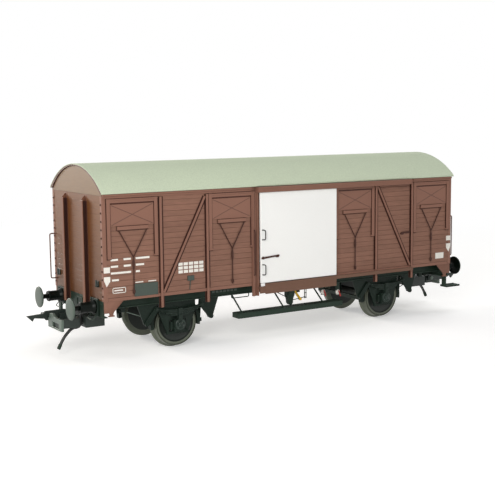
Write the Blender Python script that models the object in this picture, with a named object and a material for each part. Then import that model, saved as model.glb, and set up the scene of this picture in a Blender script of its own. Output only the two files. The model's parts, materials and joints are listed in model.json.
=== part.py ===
# A two-axle covered goods wagon as a gauge 0 model, made of the pieces it comes apart into.
# Sizes are in millimetres over the rail head and are turned into metres when a mesh is made.
# GAP parts two pieces, SUNK is how deep a rib enters its plate, and APART keeps joined faces off one plane.
# X runs along the wagon, the near side is -Y, and the left end is -X.
# The wagon is the same after half a turn about its middle, so far and right pieces are turned copies.
import math

import bmesh
import bpy
from mathutils import Matrix, Vector

MM = 0.001
GAP = 0.1
SUNK = 0.5
APART = 0.05

# Whole wagon
LENGTH_OVER_BUFFERS = 235.1
WHEELBASE = 126.7
BODY_LENGTH = 209.2
BODY_WIDTH = 58.0
WALL = 1.2
WALL_BOTTOM = 26.6
EAVES = 75.1
DECK_TOP = 28.6
DECK_BOTTOM = 27.0

# Roof arc
ROOF_HALF_WIDTH = 30.4
ROOF_HALF_LENGTH = 105.3
ROOF_EDGE = 75.9
ROOF_CROWN = 88.0
ROOF_SKIN = 0.9
ROOF_SEAT_Y = 28.9
ROOF_STEPS = 20

# Side walls
DOOR_LEFT = -21.5
DOOR_RIGHT = 22.9
DOORWAY_TOP = 72.5
POST_X = (51.2, 75.8)
POST_WIDTH = 2.2
POST_BOTTOM = 21.5
POST_TOP = 72.8
POST_FACE = 30.1
DOOR_POST = (22.5, 25.9)
BRACE_LOW = (74.7, 28.3)
BRACE_HIGH = (52.3, 71.8)
BRACE_WIDTH = 2.0
BRACE_FACE = 29.9
HATCH_X = (37.4, 89.9)
HATCH_HALF = 11.1
HATCH_Z = (59.0, 70.9)
HATCH_FACE = 29.35
HATCH_CROSS_FACE = 29.6
HATCH_MARGIN = 0.4
HATCH_LINTEL_Z = (71.2, 72.9)
GUIDE_OFFSET = 11.9
GUIDE_WIDTH = 1.6
GUIDE_Z = (46.0, 73.0)
GUIDE_FACE = 29.7
PULL_HALF = 7.9
PULL_TOP = 58.6
PULL_JOIN = 46.3
PULL_BOTTOM = 29.0
PULL_FACE = 29.8
PULL_WIDTH = 0.9
COLLAR_Z = (40.5, 45.7)
FOOT_STRIP_TOP = 28.2
FOOT_INSET = 1.0
FOOT_FACE = 29.45
GUSSET = (
    (104.5, 26.5), (104.5, 21.4), (102.3, 21.4), (102.3, 19.7), (99.8, 19.7), (99.8, 21.8), (95.4, 26.3),
    (95.4, 27.5), (102.0, 27.5), (102.0, 26.5),
)
GUSSET_Y = (28.0, 28.9)

# End walls
END_POST_Y = 11.6
END_POST_WIDTH = 2.4
END_POST_FACE = 107.0
END_POST_Z = (22.0, 71.4, 74.2)
END_WALL_BOTTOM = 26.8
RAIL_Y = 25.6
RAIL_FACE = 107.6
RAIL_Z = (31.0, 53.0)
RAIL_RADIUS = 0.4
WIRE_BEND = 0.5

# Sliding doors and their rails
DOOR_X = (-22.4, 23.7)
DOOR_Z = (27.9, 74.0)
DOOR_Y = (30.5, 31.7)
HANDLE_X = -19.8
HANDLE_Z = ((32.0, 37.0), (49.3, 54.0))
HANDLE_FACE = 33.0
HANDLE_R = 0.35
LATCH_X = (-21.4, -10.9)
LATCH_Z = (39.95, 40.85)
LATCH_FACE = 32.4
FASCIA_X = (-24.0, 73.6)
FASCIA_Z = (72.4, 75.0)
FASCIA_Y = (32.0, 32.6)
FASCIA_FLANGE = 74.4
LINTEL_FACE = 29.4
SILL_X = (-22.3, 23.3)
SILL_Z = (22.4, 27.6)
SILL_Y = (29.1, 32.2)
SILL_NOTCH = ((-19.7, 27.6), (-20.7, 26.3))
SILL_EAR = (-23.4, 30.4, 22.9)
THRESHOLD_Z = (24.0, 27.5)
LIP_X = 75.0
LIP_Z = (25.9, 27.5)
LIP_Y = 30.2

# Underframe
HEADSTOCK_X = (102.5, 104.5)
HEADSTOCK_HALF = 27.6
HEADSTOCK_Z = (19.0, 26.7)
CORNER_STEP_X = (103.4, 113.4)
CORNER_STEP_Y = (22.8, 28.0)
CORNER_STEP_Z = (13.1, 14.2)
STEP_STRAP_X = (103.3, 104.3)
STEP_STRAP_Y = (24.0, 26.8)
SOLEBAR_Y = (21.0, 23.0)
SOLEBAR_Z = (22.0, 26.9)
SOLEBAR_HALF = 102.4
CHANGE_BOX_X = (-1.4, 3.2)
CHANGE_BOX_Y = (20.7, 23.4)
CHANGE_BOX_BOTTOM = 13.4
CHANGE_LEVER = ((3.9, 20.3), (7.3, 15.8))
CHANGE_LEVER_Y = (21.8, 22.8)
CHANGE_LEVER_WIDTH = 1.1
LEVER_TAB_X = (21.6, 31.2)
LEVER_TAB_HALF = 0.8
LEVER_TAB_Y = (21.8, 22.6)
LEVER_TAB_BOTTOM = 16.4
BALLAST_HALF = (90.0, 19.0)
BALLAST_Z = (24.6, 26.9)
STEP_HALF = 32.0
STEP_Y = (19.9, 25.9)
STEP_Z = (10.3, 12.9)
STEP_HANGER_X = (-28.2, -3.3, 21.5)
STEP_HANGER_TOP = (8.0, 24.3)
STEP_HANGER_R = 0.45

# Wheelsets
AXLE_HEIGHT = 11.1
TREAD_R = 11.1
FLANGE_R = 12.3
WHEEL_BACK = 14.5
WHEEL_FRONT = 19.5
WHEEL_STEPS = 24
TYRE_R = 9.1
HUB_R = 3.4
WEB_DEPTH = 1.1
FLANGE_WIDTH = 1.5
TYRE_BEVEL = 0.3
AXLE_R = 1.5
AXLE_TIP = 21.9
AXLE_POINT_R = 0.25
AXLE_NECK_R = 1.2
CUP_R = 1.85
CUP_MOUTH_R = 1.4
CUP_STEPS = 12
CUP_Y = (20.2, 22.5)

# Axle guards, sizes from the axle's middle
GUARD_Y = (20.1, 20.9)
GUARD_HALF_TOP = 9.9
GUARD_HALF_FOOT = 5.9
GUARD_Z = (6.2, 16.9, 26.6)
GUARD_CORNER = 1.2
GUARD_WINDOW = (4.6, 7.4, 13.0)
BOX_HALF = 2.9
BOX_Z = (7.6, 13.6)
BOX_Y = (20.5, 23.4)
COVER_R = 2.7
COVER_Y = 24.2
COVER_BOSS = 0.4
COVER_STEPS = 16
SPRING_HALF = 12.2
SPRING_RISE = 1.3
SPRING_TOP = 18.5
SPRING_Y = (22.4, 24.0)
LEAF = 0.8
LEAF_STEPS = 8
LEAF_LENGTHS = (1.0, 0.82, 0.62, 0.42)
BUCKLE_HALF = 1.15
BUCKLE_Y = (22.0, 24.6)
BRACKET_X = (13.2, 21.8)
BRACKET_TIP = (17.3, 12.5)
BRACKET_TIP_HALF = 1.2
BRACKET_Y = (21.6, 22.6)
LINK_Y = (22.4, 23.6)
LINK_R = 1.25

# Buffers
BUFFER_Y = 19.45
BUFFER_HEIGHT = 23.5
BUFFER_HEAD_R = 5.1
BUFFER_HEAD = 1.0
BUFFER_BEVEL = 0.3
SHANK_R = 1.15
SHANK_END = 110.0
SHANK_FILLET = 0.8
SLEEVE_FRONT = 112.8
SLEEVE_BACK = 104.7
SLEEVE_R = 2.6
SLEEVE_LIP = 0.3
SLEEVE_FLARE = 0.7
SLEEVE_BORE_R = 1.35
SLEEVE_BORE_END = 105.0
BASE_HALF = 4.0
BASE_FACE = 105.5
BUFFER_COIL_R = 0.9
BUFFER_WIRE_R = 0.15
BUFFER_TURNS = 4
BUFFER_STEPS = 16
COIL_POINTS = 8

# Couplers
PIVOT_X = 100.5
POCKET_X = (95.5, 105.0)
POCKET_HALF = 8.5
POCKET_Z = (11.6, 17.0)
POCKET_BACK = 97.5
POCKET_HOLLOW_HALF = 4.5
POCKET_HOLLOW_Z = (12.7, 15.9)
POCKET_STEM = ((96.0, 101.5), 3.0)
PIN_R = 0.8
EYE_R = 2.3
DRAWBAR_Z = (12.9, 15.7)
DRAWBAR_HALF = 1.8
YOKE_X = (108.2, 109.8)
YOKE_Y = (-8.9, 7.1)
NEAR_ARM_Y = (-9.0, -7.6)
NEAR_ARM_Z = (12.5, 16.8)
HEAD_X = (116.4, 117.7)
HEAD_OUTLINE = (
    (-9.8, 11.2), (-9.8, 16.8), (-4.0, 16.6), (-0.6, 17.2), (1.2, 18.2), (4.6, 18.0), (5.6, 16.2),
    (7.2, 15.2), (7.2, 11.4),
)
MOUTH_Y = (-6.2, 1.6)
MOUTH_Z = (12.0, 14.6)
CHEEK_X = (106.9, 112.0)
CHEEK_Y = (6.0, 7.3)
CHEEK_Z = (12.6, 17.0)
HOOK_PIVOT = (109.5, 15.6)
HOOK_Y = (7.7, 8.9)
HOOK_PIN_R = 0.7
HOOK_OUTLINE = (
    (107.4, 14.2), (107.4, 17.6), (108.6, 18.6), (118.7, 18.5), (120.0, 17.4), (127.9, 17.0),
    (124.9, 14.1), (124.1, 15.6), (119.0, 14.9), (118.3, 14.0),
)

# Brake gear and hoses
SHOE_INNER_R = 11.7
SHOE_OUTER_R = 13.4
SHOE_Y = (16.4, 19.2)
SHOE_ANGLE = 26.0
BRAKE_BEAM_OFFSET = 13.4
BRAKE_HANGER_TOP = 24.4
BRAKE_HANGER_Y = (17.2, 18.2)
BRAKE_HANGER_LEAN = 1.2
BRAKE_BEAM = 1.8
BRAKE_ROD = 0.6
BRAKE_ROD_Z = 20.2
CYLINDER_X = (-5.0, 8.0)
TANK_X = (-34.0, -14.0)
VESSEL_Y = 9.0
VESSEL_Z = 19.8
VESSEL_R = 3.4
SADDLE_HALF = 3.0
HOSE_R = 0.75
HOSE_Y = -4.5
HOSE_ROUTE = (
    (103.5, 18.8), (103.5, 18.4), (104.0, 18.1), (104.9, 18.0), (105.7, 17.5), (106.15, 16.5),
    (106.15, 14.0), (106.4, 12.8), (107.2, 11.9), (108.4, 11.6), (109.6, 11.55), (110.8, 11.1),
    (112.3, 9.9), (114.5, 7.5), (116.3, 4.6), (117.5, 2.3),
)

END_X = BODY_LENGTH / 2
SIDE_Y = BODY_WIDTH / 2
SIDE_INNER = SIDE_Y - WALL
AXLE_X = WHEELBASE / 2
BUFFER_FACE = LENGTH_OVER_BUFFERS / 2
RAIL_HEAD = FLANGE_R * math.cos(math.pi / WHEEL_STEPS) - AXLE_HEIGHT


def clear_scene():
    for old in list(bpy.data.objects):
        bpy.data.objects.remove(old, do_unlink=True)


def finish_of(name, colour, roughness, metallic=0.0):
    material = bpy.data.materials.new(name)
    material.use_nodes = True
    shader = material.node_tree.nodes["Principled BSDF"]
    shader.inputs["Base Color"].default_value = (*colour, 1.0)
    shader.inputs["Roughness"].default_value = roughness
    shader.inputs["Metallic"].default_value = metallic
    return material


# Shapes: each returns corner points in millimetres and faces
def prism(outline, axis, start, end):
    # A flat outline carried along one axis: (y, z) along X, (x, z) along Y, (x, y) along Z
    count = len(outline)
    points = []
    for along in (start, end):
        for first, second in outline:
            point = [first, second]
            point.insert("XYZ".index(axis), along)
            points.append(tuple(point))
    faces = [tuple(range(count)), tuple(range(2 * count - 1, count - 1, -1))]
    for i in range(count):
        j = (i + 1) % count
        faces.append((i, j, count + j, count + i))
    return points, faces


def block(x, y, z):
    return prism(((x[0], y[0]), (x[1], y[0]), (x[1], y[1]), (x[0], y[1])), "Z", z[0], z[1])


def bar(start, end, width, y):
    # A straight flat bar in the XZ plane, from point to point
    run = Vector((end[0] - start[0], end[1] - start[1])).normalized() * (width / 2)
    side = Vector((-run.y, run.x))
    corners = (
        (start[0] + side.x, start[1] + side.y), (end[0] + side.x, end[1] + side.y),
        (end[0] - side.x, end[1] - side.y), (start[0] - side.x, start[1] - side.y),
    )
    return prism(corners, "Y", y[0], y[1])


def arc(centre, radius, start, end, steps):
    # Points on a circle, angles in degrees
    turn = [math.radians(start + (end - start) * i / steps) for i in range(steps + 1)]
    return [(centre[0] + radius * math.cos(a), centre[1] + radius * math.sin(a)) for a in turn]


def capsule(start, end, radius, y, steps=6):
    heading = math.degrees(math.atan2(end[1] - start[1], end[0] - start[0]))
    outline = arc(end, radius, heading - 90, heading + 90, steps)
    outline += arc(start, radius, heading + 90, heading + 270, steps)
    return prism(outline, "Y", y[0], y[1])


def turned(profile, axis, centre, steps, ring=False):
    # A profile of (place along the axis, radius) spun round it, with a flat at the bottom
    points = []
    rings = []
    for along, radius in profile:
        ids = []
        for i in range(1 if radius == 0 else steps):
            a = -math.pi / 2 + math.pi / steps + 2 * math.pi * i / steps
            ids.append(len(points))
            if axis == "X":
                points.append((along, centre[0] + radius * math.cos(a), centre[1] + radius * math.sin(a)))
            else:
                points.append((centre[0] + radius * math.cos(a), along, centre[1] + radius * math.sin(a)))
        rings.append(ids)
    faces = []
    pairs = list(zip(rings, rings[1:] + rings[:1])) if ring else list(zip(rings, rings[1:]))
    for low, high in pairs:
        for i in range(steps):
            j = (i + 1) % steps
            corner = [low[i % len(low)], low[j % len(low)], high[j % len(high)], high[i % len(high)]]
            faces.append(tuple(dict.fromkeys(corner)))
    if not ring:
        faces += [tuple(end) for end in (rings[0], rings[-1]) if len(end) > 1]
    return points, faces


def wire(route, radius, sides=6):
    # A round wire along a route, its section kept square to the run at each point
    route = [Vector(p) for p in route]
    points = []
    side = None
    for i, point in enumerate(route):
        run = (route[min(i + 1, len(route) - 1)] - route[max(i - 1, 0)]).normalized()
        if side is None:
            side = run.orthogonal().normalized()
        side = (side - run * side.dot(run)).normalized()
        lift = run.cross(side)
        for k in range(sides):
            a = 2 * math.pi * k / sides
            points.append(tuple(point + (side * math.cos(a) + lift * math.sin(a)) * radius))
    faces = [tuple(range(sides)), tuple(range(len(points) - sides, len(points)))]
    for i in range(len(route) - 1):
        for k in range(sides):
            j = (k + 1) % sides
            faces.append((i * sides + k, i * sides + j, (i + 1) * sides + j, (i + 1) * sides + k))
    return points, faces


def bent_wire(root, face, ends):
    # Route of a bent-wire handle seen from its side: out of the wall, along its face and back in
    low, high = ends
    knee = face + WIRE_BEND
    lower = [(root, low), (knee, low), (face, low + WIRE_BEND)]
    return lower + [(face, high - WIRE_BEND), (knee, high), (root, high)]


def mesh_of(name, shape):
    mesh = bpy.data.meshes.new(name)
    mesh.from_pydata([Vector(p) * MM for p in shape[0]], [], shape[1])
    bm = bmesh.new()
    bm.from_mesh(mesh)
    bmesh.ops.recalc_face_normals(bm, faces=bm.faces)
    bm.to_mesh(mesh)
    bm.free()
    return mesh


def boolean_group(obj, shapes, operation):
    group = bpy.data.collections.new(obj.name + "_" + operation)
    bpy.context.scene.collection.children.link(group)
    for shape in shapes:
        tool = bpy.data.objects.new("tool", mesh_of("tool", shape))
        tool.hide_render = True
        tool.display_type = "WIRE"
        group.objects.link(tool)
    modifier = obj.modifiers.new(operation, "BOOLEAN")
    modifier.operation = operation
    modifier.solver = "EXACT"
    modifier.operand_type = "COLLECTION"
    modifier.collection = group
    return group


def fused(name, shapes, cuts=(), inserts=()):
    # One closed mesh: the shapes joined, the cuts taken out, then the inserts joined
    base = bpy.data.objects.new(name, mesh_of(name, shapes[0]))
    bpy.context.scene.collection.objects.link(base)
    groups = []
    for step, operation in ((shapes[1:], "UNION"), (cuts, "DIFFERENCE"), (inserts, "UNION")):
        if step:
            groups.append(boolean_group(base, step, operation))
    seen = base.evaluated_get(bpy.context.evaluated_depsgraph_get())
    mesh = bpy.data.meshes.new_from_object(seen)
    for group in groups:
        for tool in list(group.objects):
            bpy.data.objects.remove(tool, do_unlink=True)
        bpy.data.collections.remove(group)
    bpy.data.objects.remove(base, do_unlink=True)
    mesh.name = name
    return mesh


def centred(mesh, origin):
    mesh.transform(Matrix.Translation(-Vector(origin) * MM))
    return mesh


def place(name, mesh, material, origin=(0, 0, 0), half_turn=False, smooth=False):
    if not mesh.materials:
        mesh.materials.append(material)
    if smooth:
        mesh.shade_smooth()
        mesh.set_sharp_from_angle(angle=math.radians(35))
    obj = bpy.data.objects.new(name, mesh)
    bpy.context.scene.collection.objects.link(obj)
    obj.parent = WAGON
    turn = Matrix.Rotation(math.pi if half_turn else 0.0, 4, "Z")
    obj.matrix_basis = turn @ Matrix.Translation(Vector(origin) * MM)
    return obj


def place_pair(names, mesh, material, origin=(0, 0, 0), smooth=False):
    place(names[0], mesh, material, origin, False, smooth)
    place(names[1], mesh, material, origin, True, smooth)


def flip(outline, sign):
    return [(sign * x, z) for x, z in outline]


# Body
def roof_arc(half, low, high, steps):
    rise = high - low
    radius = (half * half + rise * rise) / (2 * rise)
    spread = math.degrees(math.asin(half / radius))
    return arc((0, high - radius), radius, 90 - spread, 90 + spread, steps)


def hatch(sign, x):
    # Ventilation hatch with its crossed ribs, guide strips and Y-shaped pull rod
    left, right = sign * x - HATCH_HALF, sign * x + HATCH_HALF
    middle = sign * x
    back = -SIDE_Y + SUNK
    low, high = HATCH_Z[0] + HATCH_MARGIN, HATCH_Z[1] - HATCH_MARGIN
    reach = HATCH_HALF - HATCH_MARGIN
    shapes = [block((left, right), (-HATCH_FACE, back), HATCH_Z)]
    for start, end in ((low, high), (high, low)):
        ends = (middle - reach, start), (middle + reach, end)
        shapes.append(bar(*ends, PULL_WIDTH, (-HATCH_CROSS_FACE, back)))
    for side in (-1, 1):
        strip = middle + side * GUIDE_OFFSET
        ends = (strip - GUIDE_WIDTH / 2, strip + GUIDE_WIDTH / 2)
        shapes.append(block(ends, (-GUIDE_FACE, back), GUIDE_Z))
        arm = (middle + side * PULL_HALF, PULL_TOP)
        shapes.append(bar(arm, (middle, PULL_JOIN), PULL_WIDTH, (-PULL_FACE, back)))
    across = (middle - GUIDE_OFFSET, middle + GUIDE_OFFSET)
    shapes.append(block(across, (-GUIDE_FACE + APART, back), HATCH_LINTEL_Z))
    cross = (middle - PULL_HALF - SUNK, middle + PULL_HALF + SUNK)
    cross_z = (PULL_TOP - PULL_WIDTH / 2, PULL_TOP + PULL_WIDTH / 2)
    shapes.append(block(cross, (-PULL_FACE - APART, back), cross_z))
    stem = (middle - PULL_WIDTH / 2, middle + PULL_WIDTH / 2)
    shapes.append(block(stem, (-PULL_FACE + APART, back), (PULL_BOTTOM, PULL_JOIN + PULL_WIDTH)))
    collar = (middle - PULL_WIDTH, middle + PULL_WIDTH)
    shapes.append(block(collar, (-PULL_FACE - 2 * APART, back), COLLAR_Z))
    return shapes


def side_wall(sign, door_edge):
    # Half of the near side, from the doorway to the corner; sign is -1 for the left half
    corner = sign * (END_X - WALL - GAP)
    ends = tuple(sorted((corner, door_edge)))
    back = -SIDE_Y + SUNK
    shapes = [block(ends, (-SIDE_Y, -SIDE_INNER), (WALL_BOTTOM, EAVES))]
    foot = (ends[0] + FOOT_INSET, ends[1] - FOOT_INSET)
    shapes.append(block(foot, (-FOOT_FACE, back), (WALL_BOTTOM + APART, FOOT_STRIP_TOP)))
    shapes.append(prism(flip(GUSSET, sign), "Y", -GUSSET_Y[1], -GUSSET_Y[0]))
    for x in POST_X:
        span = (sign * x - POST_WIDTH / 2, sign * x + POST_WIDTH / 2)
        shapes.append(block(span, (-POST_FACE, back), (POST_BOTTOM, POST_TOP)))
    if sign < 0:
        span = (-DOOR_POST[1], -DOOR_POST[0])
        shapes.append(block(span, (-POST_FACE + APART, back), (POST_BOTTOM, POST_TOP + 2 * APART)))
    brace = flip((BRACE_LOW, BRACE_HIGH), sign)
    shapes.append(bar(brace[0], brace[1], BRACE_WIDTH, (-BRACE_FACE, back)))
    for x in HATCH_X:
        shapes += hatch(sign, x)
    return fused("side_wall", shapes)


def end_wall():
    # Left end: plate with a round gable and two stout posts with slanted heads
    outline = [(-SIDE_Y + GAP, EAVES - GAP), (-SIDE_Y + GAP, END_WALL_BOTTOM)]
    outline += [(SIDE_Y - GAP, END_WALL_BOTTOM), (SIDE_Y - GAP, EAVES - GAP)]
    outline += roof_arc(ROOF_SEAT_Y - 3 * GAP, EAVES - GAP, ROOF_CROWN - ROOF_SKIN - GAP, ROOF_STEPS)
    shapes = [prism(outline, "X", -END_X, -END_X + WALL)]
    low, shoulder, top = END_POST_Z
    root = -END_X + SUNK
    clear = -END_X - APART
    heel = END_WALL_BOTTOM + 2 * GAP
    profile = (
        (clear, low), (-END_POST_FACE, low), (-END_POST_FACE, shoulder), (root, top),
        (root, heel), (clear, heel),
    )
    for y in (-END_POST_Y, END_POST_Y):
        shapes.append(prism(profile, "Y", y - END_POST_WIDTH / 2, y + END_POST_WIDTH / 2))
    return fused("end_wall", shapes)


def roof():
    outline = roof_arc(ROOF_HALF_WIDTH, ROOF_EDGE, ROOF_CROWN, ROOF_STEPS)
    outline += [(-ROOF_HALF_WIDTH, EAVES + GAP), (-ROOF_SEAT_Y, EAVES + GAP)]
    inner = roof_arc(ROOF_SEAT_Y - GAP, EAVES + GAP, ROOF_CROWN - ROOF_SKIN, ROOF_STEPS)
    outline += inner[::-1] + [(ROOF_SEAT_Y, EAVES + GAP), (ROOF_HALF_WIDTH, EAVES + GAP)]
    return fused("roof", [prism(outline, "X", -ROOF_HALF_LENGTH, ROOF_HALF_LENGTH)])


def door():
    # Sliding door of the near side, with two bent-wire handles and its locking lever
    shapes = [block(DOOR_X, (-DOOR_Y[1], -DOOR_Y[0]), DOOR_Z)]
    root = -DOOR_Y[1] + SUNK
    for ends in HANDLE_Z:
        route = [(HANDLE_X, y, z) for y, z in bent_wire(root, -HANDLE_FACE, ends)]
        shapes.append(wire(route, HANDLE_R))
    shapes.append(block(LATCH_X, (-LATCH_FACE, root), LATCH_Z))
    return fused("door", shapes)


def door_top_rail():
    # Lintel over the doorway, and the angle that hides the door's hanging rail
    lintel_x = (DOOR_LEFT + GAP, DOOR_RIGHT - GAP)
    lintel = block(lintel_x, (-LINTEL_FACE, -SIDE_INNER), (DOORWAY_TOP, FASCIA_Z[1] + APART))
    flange = block(FASCIA_X, (-FASCIA_Y[1] + GAP, -SIDE_Y - GAP), (FASCIA_FLANGE, FASCIA_Z[1]))
    face_x = (FASCIA_X[0] + APART, FASCIA_X[1] - APART)
    face = block(face_x, (-FASCIA_Y[1], -FASCIA_Y[0]), (FASCIA_Z[0], FASCIA_Z[1] - APART))
    return fused("door_top_rail", [flange, face, lintel])


def door_sill():
    # Threshold in the doorway, stepped sill in front of it and the lower running lip
    low_end = (SILL_X[0], SILL_NOTCH[1][1])
    outline = [(SILL_X[0], SILL_Z[0]), (SILL_X[1], SILL_Z[0]), (SILL_X[1], SILL_Z[1]), *SILL_NOTCH, low_end]
    sill = prism(outline, "Y", -SILL_Y[1], -SILL_Y[0])
    ear_x = (SILL_EAR[0], SILL_X[0] + SUNK)
    ear = block(ear_x, (-SILL_Y[1] + APART, -SILL_EAR[1]), (SILL_EAR[2], SILL_NOTCH[1][1] - APART))
    threshold_x = (DOOR_LEFT + 2 * GAP, DOOR_RIGHT - 2 * GAP)
    threshold = block(threshold_x, (-SILL_Y[0] - SUNK, -SIDE_INNER + APART), THRESHOLD_Z)
    lip = block((SILL_X[1] - SUNK, LIP_X), (-SILL_Y[1] + APART, -LIP_Y), LIP_Z)
    return fused("door_sill", [sill, ear, threshold, lip])


# Underframe
def headstock():
    # Left buffer beam with the shunter's step at its far corner
    beam = block((-HEADSTOCK_X[1], -HEADSTOCK_X[0]), (-HEADSTOCK_HALF, HEADSTOCK_HALF), HEADSTOCK_Z)
    strap_z = (CORNER_STEP_Z[0] + SUNK, HEADSTOCK_Z[0] + SUNK)
    strap = block((-STEP_STRAP_X[1], -STEP_STRAP_X[0]), STEP_STRAP_Y, strap_z)
    tread = block((-CORNER_STEP_X[1], -CORNER_STEP_X[0]), CORNER_STEP_Y, CORNER_STEP_Z)
    return fused("headstock", [beam, strap, tread])


def solebar():
    # Near longitudinal member with the brake change-over box and two tabs for its lever plates
    beam = block((-SOLEBAR_HALF, SOLEBAR_HALF), (-SOLEBAR_Y[1], -SOLEBAR_Y[0]), SOLEBAR_Z)
    root = SOLEBAR_Z[0] + SUNK
    shapes = [beam, block(CHANGE_BOX_X, (-CHANGE_BOX_Y[1], -CHANGE_BOX_Y[0]), (CHANGE_BOX_BOTTOM, root))]
    for x in LEVER_TAB_X:
        tab_x = (x - LEVER_TAB_HALF, x + LEVER_TAB_HALF)
        shapes.append(block(tab_x, (-LEVER_TAB_Y[1], -LEVER_TAB_Y[0]), (LEVER_TAB_BOTTOM, root)))
    return fused("solebar", shapes)


def step_board():
    # Footboard under the near door, hung on three rods that slope out from the floor
    board = block((-STEP_HALF, STEP_HALF), (-STEP_Y[1], -STEP_Y[0]), STEP_Z)
    top_y, top_z = STEP_HANGER_TOP
    foot_y = (STEP_Y[0] + STEP_Y[1]) / 2
    shapes = [board]
    for x in STEP_HANGER_X:
        shapes.append(wire(((x, -top_y, top_z), (x, -foot_y, STEP_Z[1] - SUNK)), STEP_HANGER_R))
    return fused("step_board", shapes)


# Running gear
def wheel(y_sign):
    # Profile from the bore at the back over flange, tread and tyre to the sunk web and the hub
    back, front = WHEEL_BACK, WHEEL_FRONT
    bore = AXLE_R + APART
    web = front - WEB_DEPTH
    tread = back + FLANGE_WIDTH
    profile = (
        (back, bore), (back, FLANGE_R - 1.0), (back + 0.3, FLANGE_R - GAP), (back + 0.6, FLANGE_R),
        (tread - SUNK, FLANGE_R - 2 * GAP), (tread, TREAD_R + GAP), (front - TYRE_BEVEL, TREAD_R),
        (front, TREAD_R - TYRE_BEVEL), (front, TYRE_R), (web, TYRE_R - SUNK), (web, HUB_R + SUNK),
        (front - GAP, HUB_R), (front - GAP, bore),
    )
    shape = turned([(y_sign * y, r) for y, r in profile], "Y", (0, 0), WHEEL_STEPS, ring=True)
    return mesh_of("wheel", shape)


def axle():
    # Round bar drawn in to a blunt point at each end
    half = ((AXLE_POINT_R, AXLE_TIP), (AXLE_NECK_R, CUP_Y[0]), (AXLE_R, CUP_Y[0] - 4 * GAP))
    profile = [(-y, r) for r, y in half] + [(y, r) for r, y in half[::-1]]
    return mesh_of("axle", turned(profile, "Y", (0, 0), COVER_STEPS))


def axle_bearing():
    # Brass cup of the near side with a cone for the axle's point
    mouth, end = CUP_Y
    cup = turned(((-mouth, CUP_R), (-end, CUP_R)), "Y", (0, 0), CUP_STEPS)
    depth = -end + 3 * GAP
    cone_profile = ((-mouth + SUNK, CUP_MOUTH_R), (-mouth, CUP_MOUTH_R), (depth, AXLE_POINT_R + GAP))
    cone = turned(cone_profile, "Y", (0, 0), CUP_STEPS)
    return fused("axle_bearing", [cup], [cone])


def leaf_spring():
    # Pack of leaves that curve up at the ends, each shorter than the one above it
    def curve(x, depth):
        return (x, SPRING_TOP - LEAF * depth + SPRING_RISE * (x / SPRING_HALF) ** 2)
    top = [curve(SPRING_HALF * (1 - 2 * i / LEAF_STEPS), 0) for i in range(LEAF_STEPS + 1)]
    under = []
    for depth, share in enumerate(LEAF_LENGTHS):
        under += [curve(SPRING_HALF * share, depth), curve(SPRING_HALF * share, depth + 1)]
    under = under[1:] + [curve(0.0, len(LEAF_LENGTHS))]
    outline = top + flip(under, -1) + under[-2::-1]
    return prism(outline, "Y", -SPRING_Y[1], -SPRING_Y[0])


def axle_guard():
    # Near guard about the axle's middle: plate, axlebox, spring, links and hanger brackets
    foot, knee, top = GUARD_Z
    cut = GUARD_CORNER
    outline = (
        (-GUARD_HALF_FOOT + cut, foot), (GUARD_HALF_FOOT - cut, foot), (GUARD_HALF_FOOT, foot + cut),
        (GUARD_HALF_TOP, knee), (GUARD_HALF_TOP, top), (-GUARD_HALF_TOP, top),
        (-GUARD_HALF_TOP, knee), (-GUARD_HALF_FOOT, foot + cut),
    )
    centre = (0, AXLE_HEIGHT)
    cover = (
        (-COVER_Y - COVER_BOSS, COVER_R / 2 - GAP), (-COVER_Y, COVER_R / 2),
        (-COVER_Y, COVER_R), (-BOX_Y[1] + SUNK, COVER_R),
    )
    buckle_z = (BOX_Z[1] - SUNK, SPRING_TOP + SUNK)
    shapes = [
        prism(outline, "Y", -GUARD_Y[1], -GUARD_Y[0]),
        block((-BOX_HALF, BOX_HALF), (-BOX_Y[1], -BOX_Y[0]), BOX_Z),
        turned(cover, "Y", centre, COVER_STEPS),
        leaf_spring(),
        block((-BUCKLE_HALF, BUCKLE_HALF), (-BUCKLE_Y[1], -BUCKLE_Y[0]), buckle_z),
    ]
    seat_r = CUP_R + APART
    cuts = [turned(((-CUP_Y[1] - GAP, seat_r), (-GUARD_Y[0] + SUNK, seat_r)), "Y", centre, CUP_STEPS)]
    hanger_top = SOLEBAR_Z[0] - GAP
    tip_x, tip_z = BRACKET_TIP
    bracket = (
        (BRACKET_X[0], hanger_top), (BRACKET_X[1], hanger_top),
        (tip_x + BRACKET_TIP_HALF, tip_z), (tip_x - BRACKET_TIP_HALF, tip_z),
    )
    eye = (SPRING_HALF, SPRING_TOP + SPRING_RISE - LEAF / 2)
    tip = (tip_x, tip_z + SUNK)
    for sign in (-1, 1):
        shapes.append(prism(flip(bracket, sign), "Y", -BRACKET_Y[1], -BRACKET_Y[0]))
        link = flip((eye, tip), sign)
        shapes.append(capsule(link[0], link[1], LINK_R, (-LINK_Y[1], -LINK_Y[0])))
        window = tuple(sorted((sign * (BOX_HALF + GAP), sign * GUARD_WINDOW[0])))
        cuts.append(block(window, (-GUARD_Y[1] - SUNK, -GUARD_Y[0] + SUNK), GUARD_WINDOW[1:]))
    return fused("axle_guard", shapes, cuts)


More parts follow.
